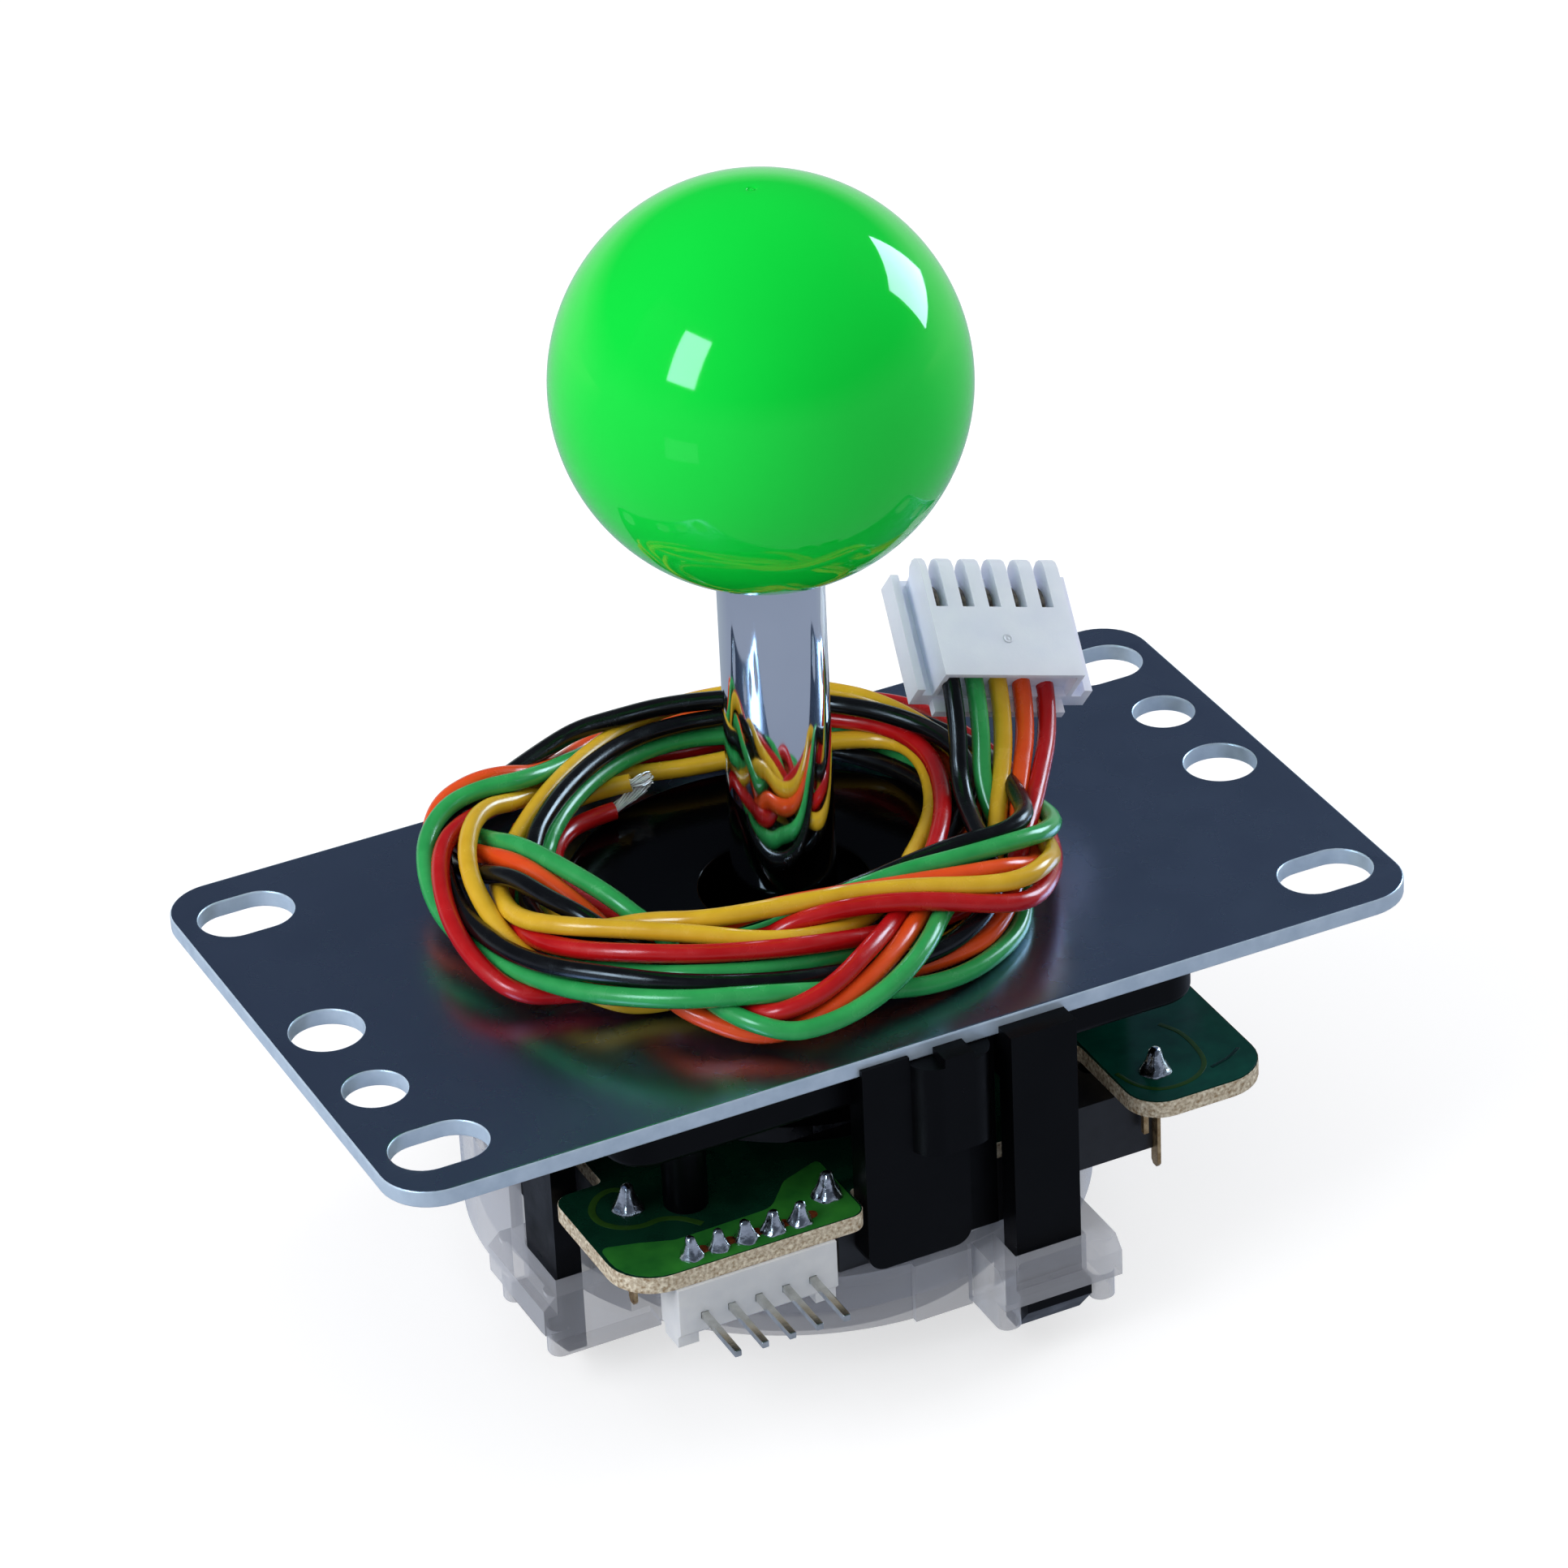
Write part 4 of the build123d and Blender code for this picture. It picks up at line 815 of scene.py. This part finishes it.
blade_parts = []
half = blade_wide / 2
for k, (x, y) in enumerate(blade_spots):
    blade_outline = [
        (y - half, blade_top), (y - half, blade_foot + foot_rise), (y - half + foot_cut, blade_foot),
        (y + half - foot_cut, blade_foot), (y + half, blade_foot + foot_rise), (y + half, blade_top),
    ]
    blade_parts.append(prism(f"blade_{k}", x - blade_thick / 2, x + blade_thick / 2, blade_outline))
stub_outline = [(-22.2, -15.62), (-22.2, -19.6), (-21.7, -19.6), (-21.7, -15.62)]
blade_parts.append(prism("blade_short", 22.4, 22.9, stub_outline))
blades = join_all(blade_parts)
blades.name = "blades"
coat(blades, blade_brass)
break_edges(blades, 0.05)
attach(blades, "housing")
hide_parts("switch_terminals")


# The gate is moulded in clear plastic. Its catches clip on the housing's hooked legs, and its
# collar holds the square guide that the lever's lower end runs in. It is clearest face on and denser
# where it is seen along its walls, and there its colour is painted paler as a painted sheen.
clear = new_finish(
    "clear_gate", (0.56, 0.57, 0.63), 0.06, Transmission_Weight=0.25, IOR=1.49, Alpha=0.4,
    Coat_Weight=0.6, Coat_Roughness=0.04,
)
vary_gloss(clear, 3.0, 0.04, 0.09)
grain(clear, 1.5, 0.01, 0.25)
clear_tree = clear.node_tree
clear_facing = add_node(clear_tree, "LayerWeight", {"Blend": 0.4})
clear_density = add_node(clear_tree, "MapRange", {"To Min": 0.3, "To Max": 0.8})
# The colour turns paler toward grazing angles: a painted sheen.
clear_painted_sheen = two_stops(clear_tree, 0.1, (0.5, 0.51, 0.57, 1), 0.8, (0.9, 0.92, 0.98, 1))
clear_shader = clear_tree.nodes["Principled BSDF"]
link_up(
    clear_tree,
    (clear_facing.outputs["Facing"], clear_density.inputs["Value"]),
    (clear_facing.outputs["Facing"], clear_painted_sheen.inputs[0]),
    (clear_density.outputs[0], clear_shader.inputs["Alpha"]),
    (clear_painted_sheen.outputs[0], clear_shader.inputs["Base Color"]),
)
coat(node["gate_frame"], clear)
break_edges(node["gate_frame"], 0.2)
coat(node["gate_guide"], clear)
break_edges(node["gate_guide"], 0.15)


# The harness is five stranded wires in glossy coloured insulation, 1.64 mm thick, wound by hand
# into a loose ring of three to four turns that lies on the plate. The wires end in the plug, and
# two of the cut ends show inside the ring with their tinned strands twisted.
wire_routes = {
    "black": [
        (18.44, 4.28, 14.74), (17.61, 1.03, 11.6), (16.1, -1.7, 5.8), (13.8, -11.7, 5.3),
        (12.4, -15.1, 4.8), (10.4, -17.2, 4), (7.2, -18.9, 3.6), (4.1, -19.6, 3.4), (-0.4, -19.7, 3.4),
        (-5.5, -19.6, 4.3), (-8.2, -19.5, 4.7), (-12.6, -18.6, 5.2), (-18.1, -16.1, 5.6),
        (-22.5, -12, 5.6), (-25.7, -8, 5.2), (-27.6, -2.8, 4.6), (-28, 3.5, 4.2), (-26.9, 9.7, 4.1),
        (-26, 13.4, 4.7), (-23.9, 16, 5.5), (-21.2, 18.1, 5.6), (-17.2, 20.3, 5.8), (-11.2, 22.6, 6.4),
        (-8.6, 22.4, 7.3), (-5.7, 22.3, 7.4), (-0.7, 22.2, 7.4), (4.6, 20.5, 7.4), (8.5, 18.4, 7.4),
        (12.4, 16.2, 6.8), (15.4, 11.7, 7.4), (18.5, 7.2, 6.8), (19.5, 2.6, 5.7), (16.6, -2.5, 4.8),
        (10.7, -7.4, 4), (5.5, -10.5, 2.5), (1.5, -13.1, 2), (-2.8, -14.2, 1.9), (-7.5, -14.4, 1.9),
        (-12.2, -11, 2.2), (-16, -9.2, 3.7), (-19.4, -7.7, 5.8), (-21.2, -5, 7.2), (-22.7, -1.4, 7.4),
        (-23.7, 3.6, 7.2), (-24.9, 7.5, 5.6), (-25, 12.5, 3.3), (-23.5, 19.3, 1.7), (-20.3, 24.1, 1.1),
        (-15.7, 25.2, 0.9), (-10.8, 24.8, 0.9), (-5.1, 24.1, 0.9), (3.6, 23.8, 1), (11.3, 19.9, 1.1),
        (16.5, 13, 1.2), (17.7, 4.5, 1.9), (15.8, -2.9, 1.9), (5.5, -12.8, 2.2), (1.2, -14.7, 2.9),
        (-4.4, -15.7, 4.1), (-10.5, -15, 5), (-15.8, -12.9, 5.8), (-20.2, -9.2, 5.6),
        (-22.7, -5.1, 5.2), (-23.5, -0.4, 4.8), (-22.1, 4.5, 4.9), (-19.2, 8.8, 6.4),
        (-17.7, 10.8, 6.6), (-13.9, 14.6, 6.6), (-9.3, 18, 6.5), (-4.6, 20.2, 6.3), (0.4, 20.7, 6),
        (4.6, 20, 5.8), (9.8, 20.2, 5.8), (14.2, 18.5, 6.2), (18.8, 12.8, 5.2), (21.8, 6.2, 4.7),
        (20.9, -0.5, 6), (19.3, -7.7, 6.7), (17.6, -10.5, 7.4), (15, -11.6, 7.4), (11.2, -11.3, 7.4),
        (7.1, -11, 6.8), (3.9, -10.2, 5.7), (-0.8, -8.6, 4), (-6.8, -6.9, 2.9), (-12, -3.8, 2.4),
        (-16.2, 1.3, 1.9),
    ],
    "green": [
        (20.8, 4.47, 13.92), (19.96, 1.22, 10.78), (17.85, -2.45, 5.8), (18.3, -7.3, 2.2),
        (17.4, -10.8, 1.2), (14.7, -15.8, 0.9), (11.3, -18.6, 0.9), (6.7, -20.9, 1.2),
        (2.4, -21.4, 1.6), (-1.1, -21, 2.2), (-4.5, -21.1, 3.3), (-8.5, -21.2, 4.5),
        (-13.4, -20.2, 5.2), (-18, -18, 5), (-22.2, -14.1, 4.5), (-24.5, -10.5, 3.8), (-26.8, -5, 3.1),
        (-28.5, 2, 2.6), (-29.1, 6.4, 3.3), (-28.6, 10.5, 4.6), (-26.9, 14.4, 6), (-23.9, 16.8, 7.1),
        (-20.2, 17.5, 7.4), (-16.1, 17, 7.3), (-10.7, 20.6, 5.4), (-3.1, 24.9, 3.6), (7.4, 25.6, 2.1),
        (12.6, 25.4, 0.9), (17, 23, 0.9), (21.8, 18.5, 0.9), (23.4, 11.1, 0.9), (21.8, 2.4, 0.9),
        (18.2, -3.6, 1.9), (13, -10.1, 3.1), (7, -16.3, 5.1), (3, -20.8, 5.1), (-1.3, -23.4, 4.3),
        (-5.3, -24.4, 3.5), (-8.6, -24.4, 3), (-11.4, -23.8, 2.9), (-13.9, -21.6, 3.5), (-15.3, -18.2, 3.7),
        (-16, -12.7, 3.9), (-15.4, -9.9, 5.4), (-16, -5.9, 5.4), (-17.7, -2.3, 6.8), (-19.4, 2.3, 7.3),
        (-21.1, 7.4, 7.4), (-22.2, 11.3, 6.1), (-22.1, 16, 4.2), (-20.6, 20.7, 3.4), (-17.3, 23.9, 3.1),
        (-13, 24.9, 2.5), (-7.4, 25.1, 2.3), (-0.5, 25.9, 1.5), (9.1, 23.8, 0.9), (16.3, 17.3, 0.9),
        (19.8, 8.2, 0.9), (18.8, -1.1, 1.9), (7.3, -14.3, 1.9), (3.3, -15.6, 2.1), (-1.2, -16.8, 3.7),
        (-9, -17.4, 4.8), (-15.5, -15.9, 5.5), (-20.2, -11.2, 4.5), (-22.9, -4.8, 3.4),
        (-23.3, 1.8, 3.2), (-21.4, 6.9, 3.8), (-18.4, 8.4, 4.9), (-16.8, 11, 5), (-13.7, 14.5, 4.9),
        (-9.7, 17.7, 4.9), (-5.2, 20, 4.7), (0.4, 21, 4.3), (4.6, 20.2, 3.8), (9.8, 19.8, 2.9),
        (14.2, 18.1, 2.7), (19.8, 14.1, 1.6), (22.1, 7.7, 1.9), (22.4, -0.2, 3.2), (22, -8, 4.9),
        (19.6, -11.5, 6.2), (15.5, -13.3, 7.4), (10.4, -13.2, 7.4), (6.3, -12.6, 7.2),
        (4.2, -11.8, 6.6), (-0.3, -10.4, 5.3), (-5.1, -10.6, 4.2), (-8.2, -9.3, 3.1),
        (-12.2, -7.2, 2.4), (-16, -2.2, 1.9), (-18.9, 2.2, 1.9), (-18.8, 6.8, 2.1),
    ],
    "yellow": [
        (23.15, 4.66, 13.1), (22.32, 1.41, 9.95), (19.3, -3.2, 5.8), (12.4, -13.9, 1.9),
        (6.8, -17.1, 1.9), (0.7, -17.4, 1.9), (-5.7, -16.5, 1.9), (-12.6, -13.4, 1.9),
        (-18.6, -11.6, 0.9), (-22, -10.5, 2.1), (-24.7, -6.2, 3.2), (-26.2, -1.8, 3.9),
        (-26.6, 3.2, 5.4), (-26.1, 7.4, 6.8), (-23.9, 11.8, 7.4), (-21.1, 14.9, 7.1), (-18, 16.2, 6),
        (-13.4, 19.1, 4.2), (-9.2, 21, 3), (-5.7, 20.6, 2.7), (-1.3, 18.8, 2.8), (3.3, 18, 2.8),
        (8.4, 17.6, 2.8), (12.7, 15.8, 3.1), (16.5, 13.8, 3.2), (17.9, 10.6, 3.6), (16.9, 5.2, 3.8),
        (14.3, -0.3, 4), (11, -4.5, 4.3), (8.6, -7, 4.4), (4.4, -12.1, 4.7), (-1, -15.2, 5.2),
        (-5.6, -15.9, 5.9), (-9.8, -15.2, 6.6), (-13.6, -13, 7.2), (-18.2, -9.8, 7.4),
        (-23.2, -5.9, 7.2), (-25.4, -1.6, 6.2), (-24.8, 3.5, 5.1), (-22.9, 8.6, 4.3),
        (-20.6, 10.6, 5.3), (-16.9, 14, 6), (-12.2, 17.9, 6.2), (-5.5, 22.2, 5.9), (-0.2, 23.9, 6.1),
        (5.2, 21.8, 7), (9.6, 20.2, 7.4), (13, 17.3, 7.4), (16.3, 14.4, 6.9), (19, 9.5, 5.8),
        (20.7, 1.9, 4.1), (20.6, -5.7, 4.1), (19.5, -12.4, 4.5), (17.1, -15.9, 6.2), (13.9, -17.8, 6.6),
        (10.4, -17.4, 6.8), (4.5, -15.3, 7.4), (-0, -13.8, 7.4), (-6, -12.6, 7.4), (-12.7, -11.3, 7.4),
        (-16.5, -7.9, 6.7), (-19.2, -5.6, 5.5), (-21.5, -1.5, 3.9), (-19.4, 10.3, 2.5),
        (-16.3, 15.8, 2.2), (-12.7, 19, 2.3), (-9.2, 18.7, 3.1), (-6.2, 17.3, 3.8),
    ],
    "orange": [
        (25.51, 4.85, 12.28), (24.67, 1.6, 9.13), (20.65, -3.95, 5.8), (17, -10.5, 2.8),
        (13.8, -14.9, 2.2), (10, -18.1, 2), (6.4, -18.8, 1.9), (3.8, -18.9, 1.9), (-1, -19, 2.2),
        (-7, -17.6, 3), (-13.3, -13.7, 3.2), (-18.8, -7.9, 2), (-24.5, -2.1, 1.7), (-27.2, 4, 2),
        (-28.2, 8.9, 2.5), (-27.4, 12.8, 3.2), (-25.9, 16.3, 4.5), (-23.7, 18.8, 6.2), (-20.6, 19, 7.3),
        (-17.3, 19, 7.2), (-13.4, 20, 5.4), (-8, 24.2, 4), (-0.8, 28.3, 3.1), (8.2, 28.7, 2.8),
        (12.8, 26.6, 2.3), (15, 20.4, 2.5), (17.8, 16.5, 3.5), (19.2, 11.8, 3.6), (19.5, 5.6, 3.4),
        (18, -1, 3.3), (14.7, -6.1, 3.6), (11, -9.9, 3.8), (4.7, -16.4, 5.3), (0, -20.6, 5.1),
        (-5.5, -23.1, 4), (-9.4, -22.8, 2.4), (-12.6, -21, 1.3), (-15.5, -18.6, 2.1), (-17.7, -15.4, 3),
        (-18.1, -10.2, 3.8), (-17.8, -5.4, 3.1), (-19.3, -2.6, 5.3), (-20.9, 2.1, 6.5),
        (-22.3, 6.2, 6.9), (-23.7, 10.8, 5.5), (-23.6, 15.7, 3.8), (-22.2, 20.8, 3.1), (-19.2, 25, 2.6),
        (-14.8, 26.1, 2.3), (-8.9, 26.9, 1.5), (-1.5, 27.4, 1.6), (7.7, 26.8, 3.2), (12.3, 25.3, 3.8),
        (15.8, 21.8, 4.1), (19.2, 17.5, 3.5), (20.9, 11.6, 3.3), (20.9, 4.6, 2.9), (20.3, -2.6, 2.6),
        (19.3, -9.6, 3), (17.2, -13.3, 4.4), (14, -14.9, 6.2), (10.3, -15.1, 6.8), (5.2, -13.9, 6.8),
        (-0.8, -12.2, 6.6), (-7.1, -10.8, 6.5), (-11.7, -10, 5.6), (-15.2, -7.1, 3.9),
        (-18.1, -2.5, 2.1), (-20.6, 1.9, 1.7), (-21, 7.9, 1.5), (-19.2, 14, 1.4), (-16.2, 18.8, 1.4),
    ],
    "red": [
        (27.86, 5.04, 11.46), (27.02, 1.78, 8.31), (21.9, -4.9, 5.8), (17.9, -10, 5.1),
        (15.4, -12.6, 4), (9.6, -14.7, 3), (3.7, -15.6, 3.8), (0, -16.7, 4.8), (-5.2, -17.5, 6.1),
        (-9.9, -16.9, 6.7), (-14.7, -14.9, 6.7), (-19.4, -12, 6.7), (-22.8, -8.3, 6),
        (-24.8, -3.9, 5.1), (-24.8, 2.3, 3.6), (-22.3, 8.9, 2.7), (-19.6, 12.2, 3.8),
        (-17.1, 14.2, 4.4), (-12.3, 17.9, 4.5), (-6.1, 21.5, 4.5), (0.2, 23, 4.4), (5.5, 22.1, 4.4),
        (10, 20.9, 4.3), (13.1, 17.1, 4.6), (16, 13.8, 4.9), (17.4, 9.6, 5.2), (16.8, 3.9, 5.7),
        (14.4, -2.2, 5.6), (10.9, -7.6, 5.7), (7.1, -11.8, 5), (1.7, -17.1, 5.7), (-2.2, -20.6, 6.4),
        (-6.3, -22.6, 5.4), (-9.6, -22.7, 4.4), (-12.4, -21.6, 3.6), (-14.4, -15.5, 2.5),
        (-16.6, -11.9, 2.5), (-20.2, -9, 1.8), (-23.6, -7.2, 1.3), (-27.7, -6, 1.8), (-29.4, -2, 3),
        (-29.6, 3, 4.3), (-28.4, 8, 5.5), (-26.2, 12.4, 6.3), (-23.3, 14.6, 6.4), (-18.9, 17.7, 5.1),
        (-13, 21.3, 3.4), (-6.4, 23.2, 2.2), (-1.6, 22.2, 2.6), (1.7, 21.6, 2.5), (4.6, 21.3, 2.6),
        (10.3, 22.1, 3), (15, 20.7, 4.3), (18.3, 16.4, 5.1), (20.4, 13.1, 5.2), (23.5, 6.8, 3.5),
        (23.9, 0.4, 2.3), (21.6, -8.7, 2.2), (17.5, -15.5, 3.9), (13.8, -18.6, 4.8), (10.3, -18.7, 5.7),
        (5.8, -17.3, 6.7), (1.2, -16, 7.3), (-3.3, -14.8, 7.1), (-6.4, -13.8, 6.2), (-8, -12.7, 4.8),
        (-11, -9.6, 3.9), (-14.1, -5.7, 3.7), (-17, -1.2, 3.6), (-18.1, 6, 2.8), (-16.6, 11.6, 2.4),
        (-13.8, 15, 2.2), (-11, 16.2, 2.1), (-8.4, 16.2, 2.2),
    ],
}
wire_colours = {
    "black": ((0.002, 0.002, 0.0025), (0.004, 0.004, 0.005)),
    "green": ((0.022, 0.3, 0.075), (0.034, 0.39, 0.1)),
    "yellow": ((0.62, 0.36, 0.016), (0.72, 0.44, 0.026)),
    "orange": ((0.74, 0.065, 0.008), (0.82, 0.09, 0.012)),
    "red": ((0.42, 0.004, 0.006), (0.5, 0.007, 0.009)),
}
wire_diameter = 1.64
for colour, route in wire_routes.items():
    wire_line = round_line("wire_" + colour + "_line", wire_diameter / 2, 4)
    wire_line.resolution_u = 12
    spline = wire_line.splines.new("NURBS")
    spline.points.add(len(route) - 1)
    for point, (x, y, z) in zip(spline.points, route):
        point.co = (x * mm, y * mm, z * mm, 1)
    spline.order_u = 3
    spline.use_endpoint_u = True
    wire = into_scene("harness_" + colour, wire_line)
    dark, light = wire_colours[colour]
    insulation = new_finish("insulation_" + colour, light, 0.22, Specular_IOR_Level=0.5)
    vary_colour(insulation, 3.0, dark, light)
    vary_gloss(insulation, 1.5, 0.16, 0.3)
    grain(insulation, 0.35, 0.01, 0.4)
    coat(wire, insulation)
    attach(wire, "housing")
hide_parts("wire_black", "wire_coil")
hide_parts("wire_green")
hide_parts("wire_yellow", "wire_end_yellow")
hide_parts("wire_orange")
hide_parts("wire_red", "wire_end_red")


# The plug is moulded in white nylon: a body with five chambers between ribs, and a wider plate with
# lips at its back. A stamped contact shows in each chamber, the wires run in at the foot, and it
# leans back on the ring. A small round mark of the mould is left on its face.
plug_white = new_finish(
    "plug_white", (0.77, 0.83, 0.96), 0.4, Subsurface_Weight=0.3, Subsurface_Scale=0.002,
    Subsurface_Radius=(0.95, 1.0, 0.95),
)
vary_colour(plug_white, 3.0, (0.76, 0.8, 0.97), (0.81, 0.85, 1.0))
vary_gloss(plug_white, 2.0, 0.34, 0.5)
grain(plug_white, 0.25, 0.012, 0.5)
plug_along = Vector((0.9649, -0.117, -0.2351))
plug_up = Vector((0.2227, 0.8392, 0.4962))
plug_turn = Matrix((plug_along, plug_up, plug_along.cross(plug_up))).transposed().to_4x4()
plug_frame = Matrix.Translation(Vector((23.63, 1.65, 13.64)) * mm) @ plug_turn
body_left, body_right, body_depth, panel_high, slot_floor = -6.57, 6.57, -3.44, 6.95, -1.9
wall, back_half, back_high, rib_foot = 0.5, 8.25, 11.7, body_depth - 0.1
pitch, chamber, first_rib_end = 2.5, 1.12, -5.89
rib_outline = [
    (5.0, 0), (11.0, 0), (11.7, -0.18), (12.2, -0.6), (12.4, -1.2), (12.2, -1.9), (11.5, -2.5),
    (11.2, rib_foot), (5.0, rib_foot),
]
base_outline = [
    (1.0, 0), (panel_high, 0), (panel_high, slot_floor), (11.0, slot_floor), (11.2, rib_foot),
    (1.0, rib_foot),
]


def oblong(low, high, near, far):
    """A four-sided outline for prism."""
    return [(low, near), (high, near), (high, far), (low, far)]


plug = prism("plug", body_left, body_right, base_outline)
plug_more = [
    prism("wall_front", body_left, body_right, oblong(0, 2.0, 0, -0.5)),
    prism("wall_left", body_left, body_left + wall, oblong(0, 2.0, 0, -3.6)),
    prism("wall_right", body_right - wall, body_right, oblong(0, 2.0, 0, -3.6)),
    prism("back_plate", -back_half, back_half, oblong(0, back_high, body_depth, -4.9)),
    prism("lip_left", -back_half, -7.5, oblong(0, back_high, -2.5, -4.0)),
    prism("lip_right", 7.5, back_half, oblong(0, back_high, -2.5, -4.0)),
    prism("tongue", -6.4, 5.9, oblong(-1.3, 2.0, -3.95, -4.8)),
]
rib_start = body_left
for k in range(6):
    rib_end = first_rib_end + pitch * k if k < 5 else body_right
    plug_more.append(prism(f"rib_{k}", rib_start, rib_end, rib_outline))
    rib_start = rib_end + chamber
for k, piece in enumerate(plug_more):
    union = plug.modifiers.new(f"union_{k}", "BOOLEAN")
    union.operation = "UNION"
    union.solver = "EXACT"
    union.object = piece
bpy.context.view_layer.update()
plug_mesh = bpy.data.meshes.new_from_object(plug.evaluated_get(bpy.context.evaluated_depsgraph_get()))
plug.modifiers.clear()
plug.data = plug_mesh
for piece in plug_more:
    bpy.data.objects.remove(piece)
plug_mesh.transform(plug_frame)
coat(plug, plug_white)
break_edges(plug, 0.16)
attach(plug, "housing")
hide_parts("plug_housing")

mark_profile = [
    (0, -0.3), (0.46, -0.3), (0.46, 0.02), (0.41, 0.07), (0.33, 0.07), (0.26, 0.01), (0.12, 0.01),
    (0.08, 0.05), (0, 0.05),
]
plug_mark = turned("plug_mark", mark_profile, 32)
plug_mark.data.transform(plug_frame @ Matrix.Translation((0.1 * mm, 3.7 * mm, 0)))
coat(plug_mark, plug_white)
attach(plug_mark, "housing")

contact_outline = [
    (6.9, -2.0), (6.9, -1.3), (7.3, -1.0), (8.3, -0.8), (9.2, -1.0), (9.8, -1.4),
    (10.2, -1.85), (10.2, -2.0),
]
first_contact, contact_half = -5.33, 0.3
contact_starts = [first_contact - contact_half + pitch * k for k in range(5)]
contact_ends = [first_contact + contact_half + pitch * k for k in range(5)]
contacts = join_all([
    prism(f"contact_{k}", contact_starts[k], contact_ends[k], contact_outline) for k in range(5)
])
contacts.data.transform(plug_frame)
contacts.name = "contacts"
contact_metal = new_finish("contact_metal", (0.2, 0.15, 0.11), 0.35, Metallic=0.8)
vary_colour(contact_metal, 0.6, (0.05, 0.035, 0.025), (0.34, 0.28, 0.22))
grain(contact_metal, 0.3, 0.03, 0.8)
coat(contacts, contact_metal)
break_edges(contacts, 0.06)
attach(contacts, "housing")
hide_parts("plug_contacts")


# The cut ends of the yellow and the red wire are stripped. Their strands are fine tinned copper,
# loosely twisted, and they fan out toward the tips.
strand_radius, strand_steps, strand_twist = 0.085, 8, 2.2
strand_line = round_line("strands", strand_radius, 1)
for tip, run, spread, count in (
    ((-8.6, 16.2, 2.2), (4.4, 1.7, 1.0), 0.5, 15), ((-6.4, 17.25, 3.8), (2.2, -0.15, 0.0), 0.42, 13),
):
    tip, run = Vector(tip), Vector(run)
    side = run.cross(Vector((0, 0, 1))).normalized()
    rise = side.cross(run).normalized()
    for k in range(count):
        around = 2 * math.pi * k / count
        out = spread * (0.35 + 0.65 * random.random())
        reach = 0.8 + 0.25 * random.random()
        strand = strand_line.splines.new("POLY")
        strand.points.add(strand_steps)
        for n, point in enumerate(strand.points):
            t = n / strand_steps
            a = around + strand_twist * t
            wide = out * (1 + 0.9 * t * random.uniform(0.8, 1.1))
            spot = tip + run * reach * t + side * wide * math.cos(a) + rise * wide * 0.8 * math.sin(a)
            point.co = (*(spot * mm), 1)
strands = into_scene("strands", strand_line)
strand_tin = new_finish("strand_tin", (0.9, 0.91, 0.93), 0.25, Metallic=0.5)
vary_colour(strand_tin, 0.5, (0.75, 0.76, 0.79), (1.0, 1.0, 1.0))
grain(strand_tin, 0.2, 0.01, 0.6)
coat(strands, strand_tin)
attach(strands, "housing")
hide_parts("stripped_wires")
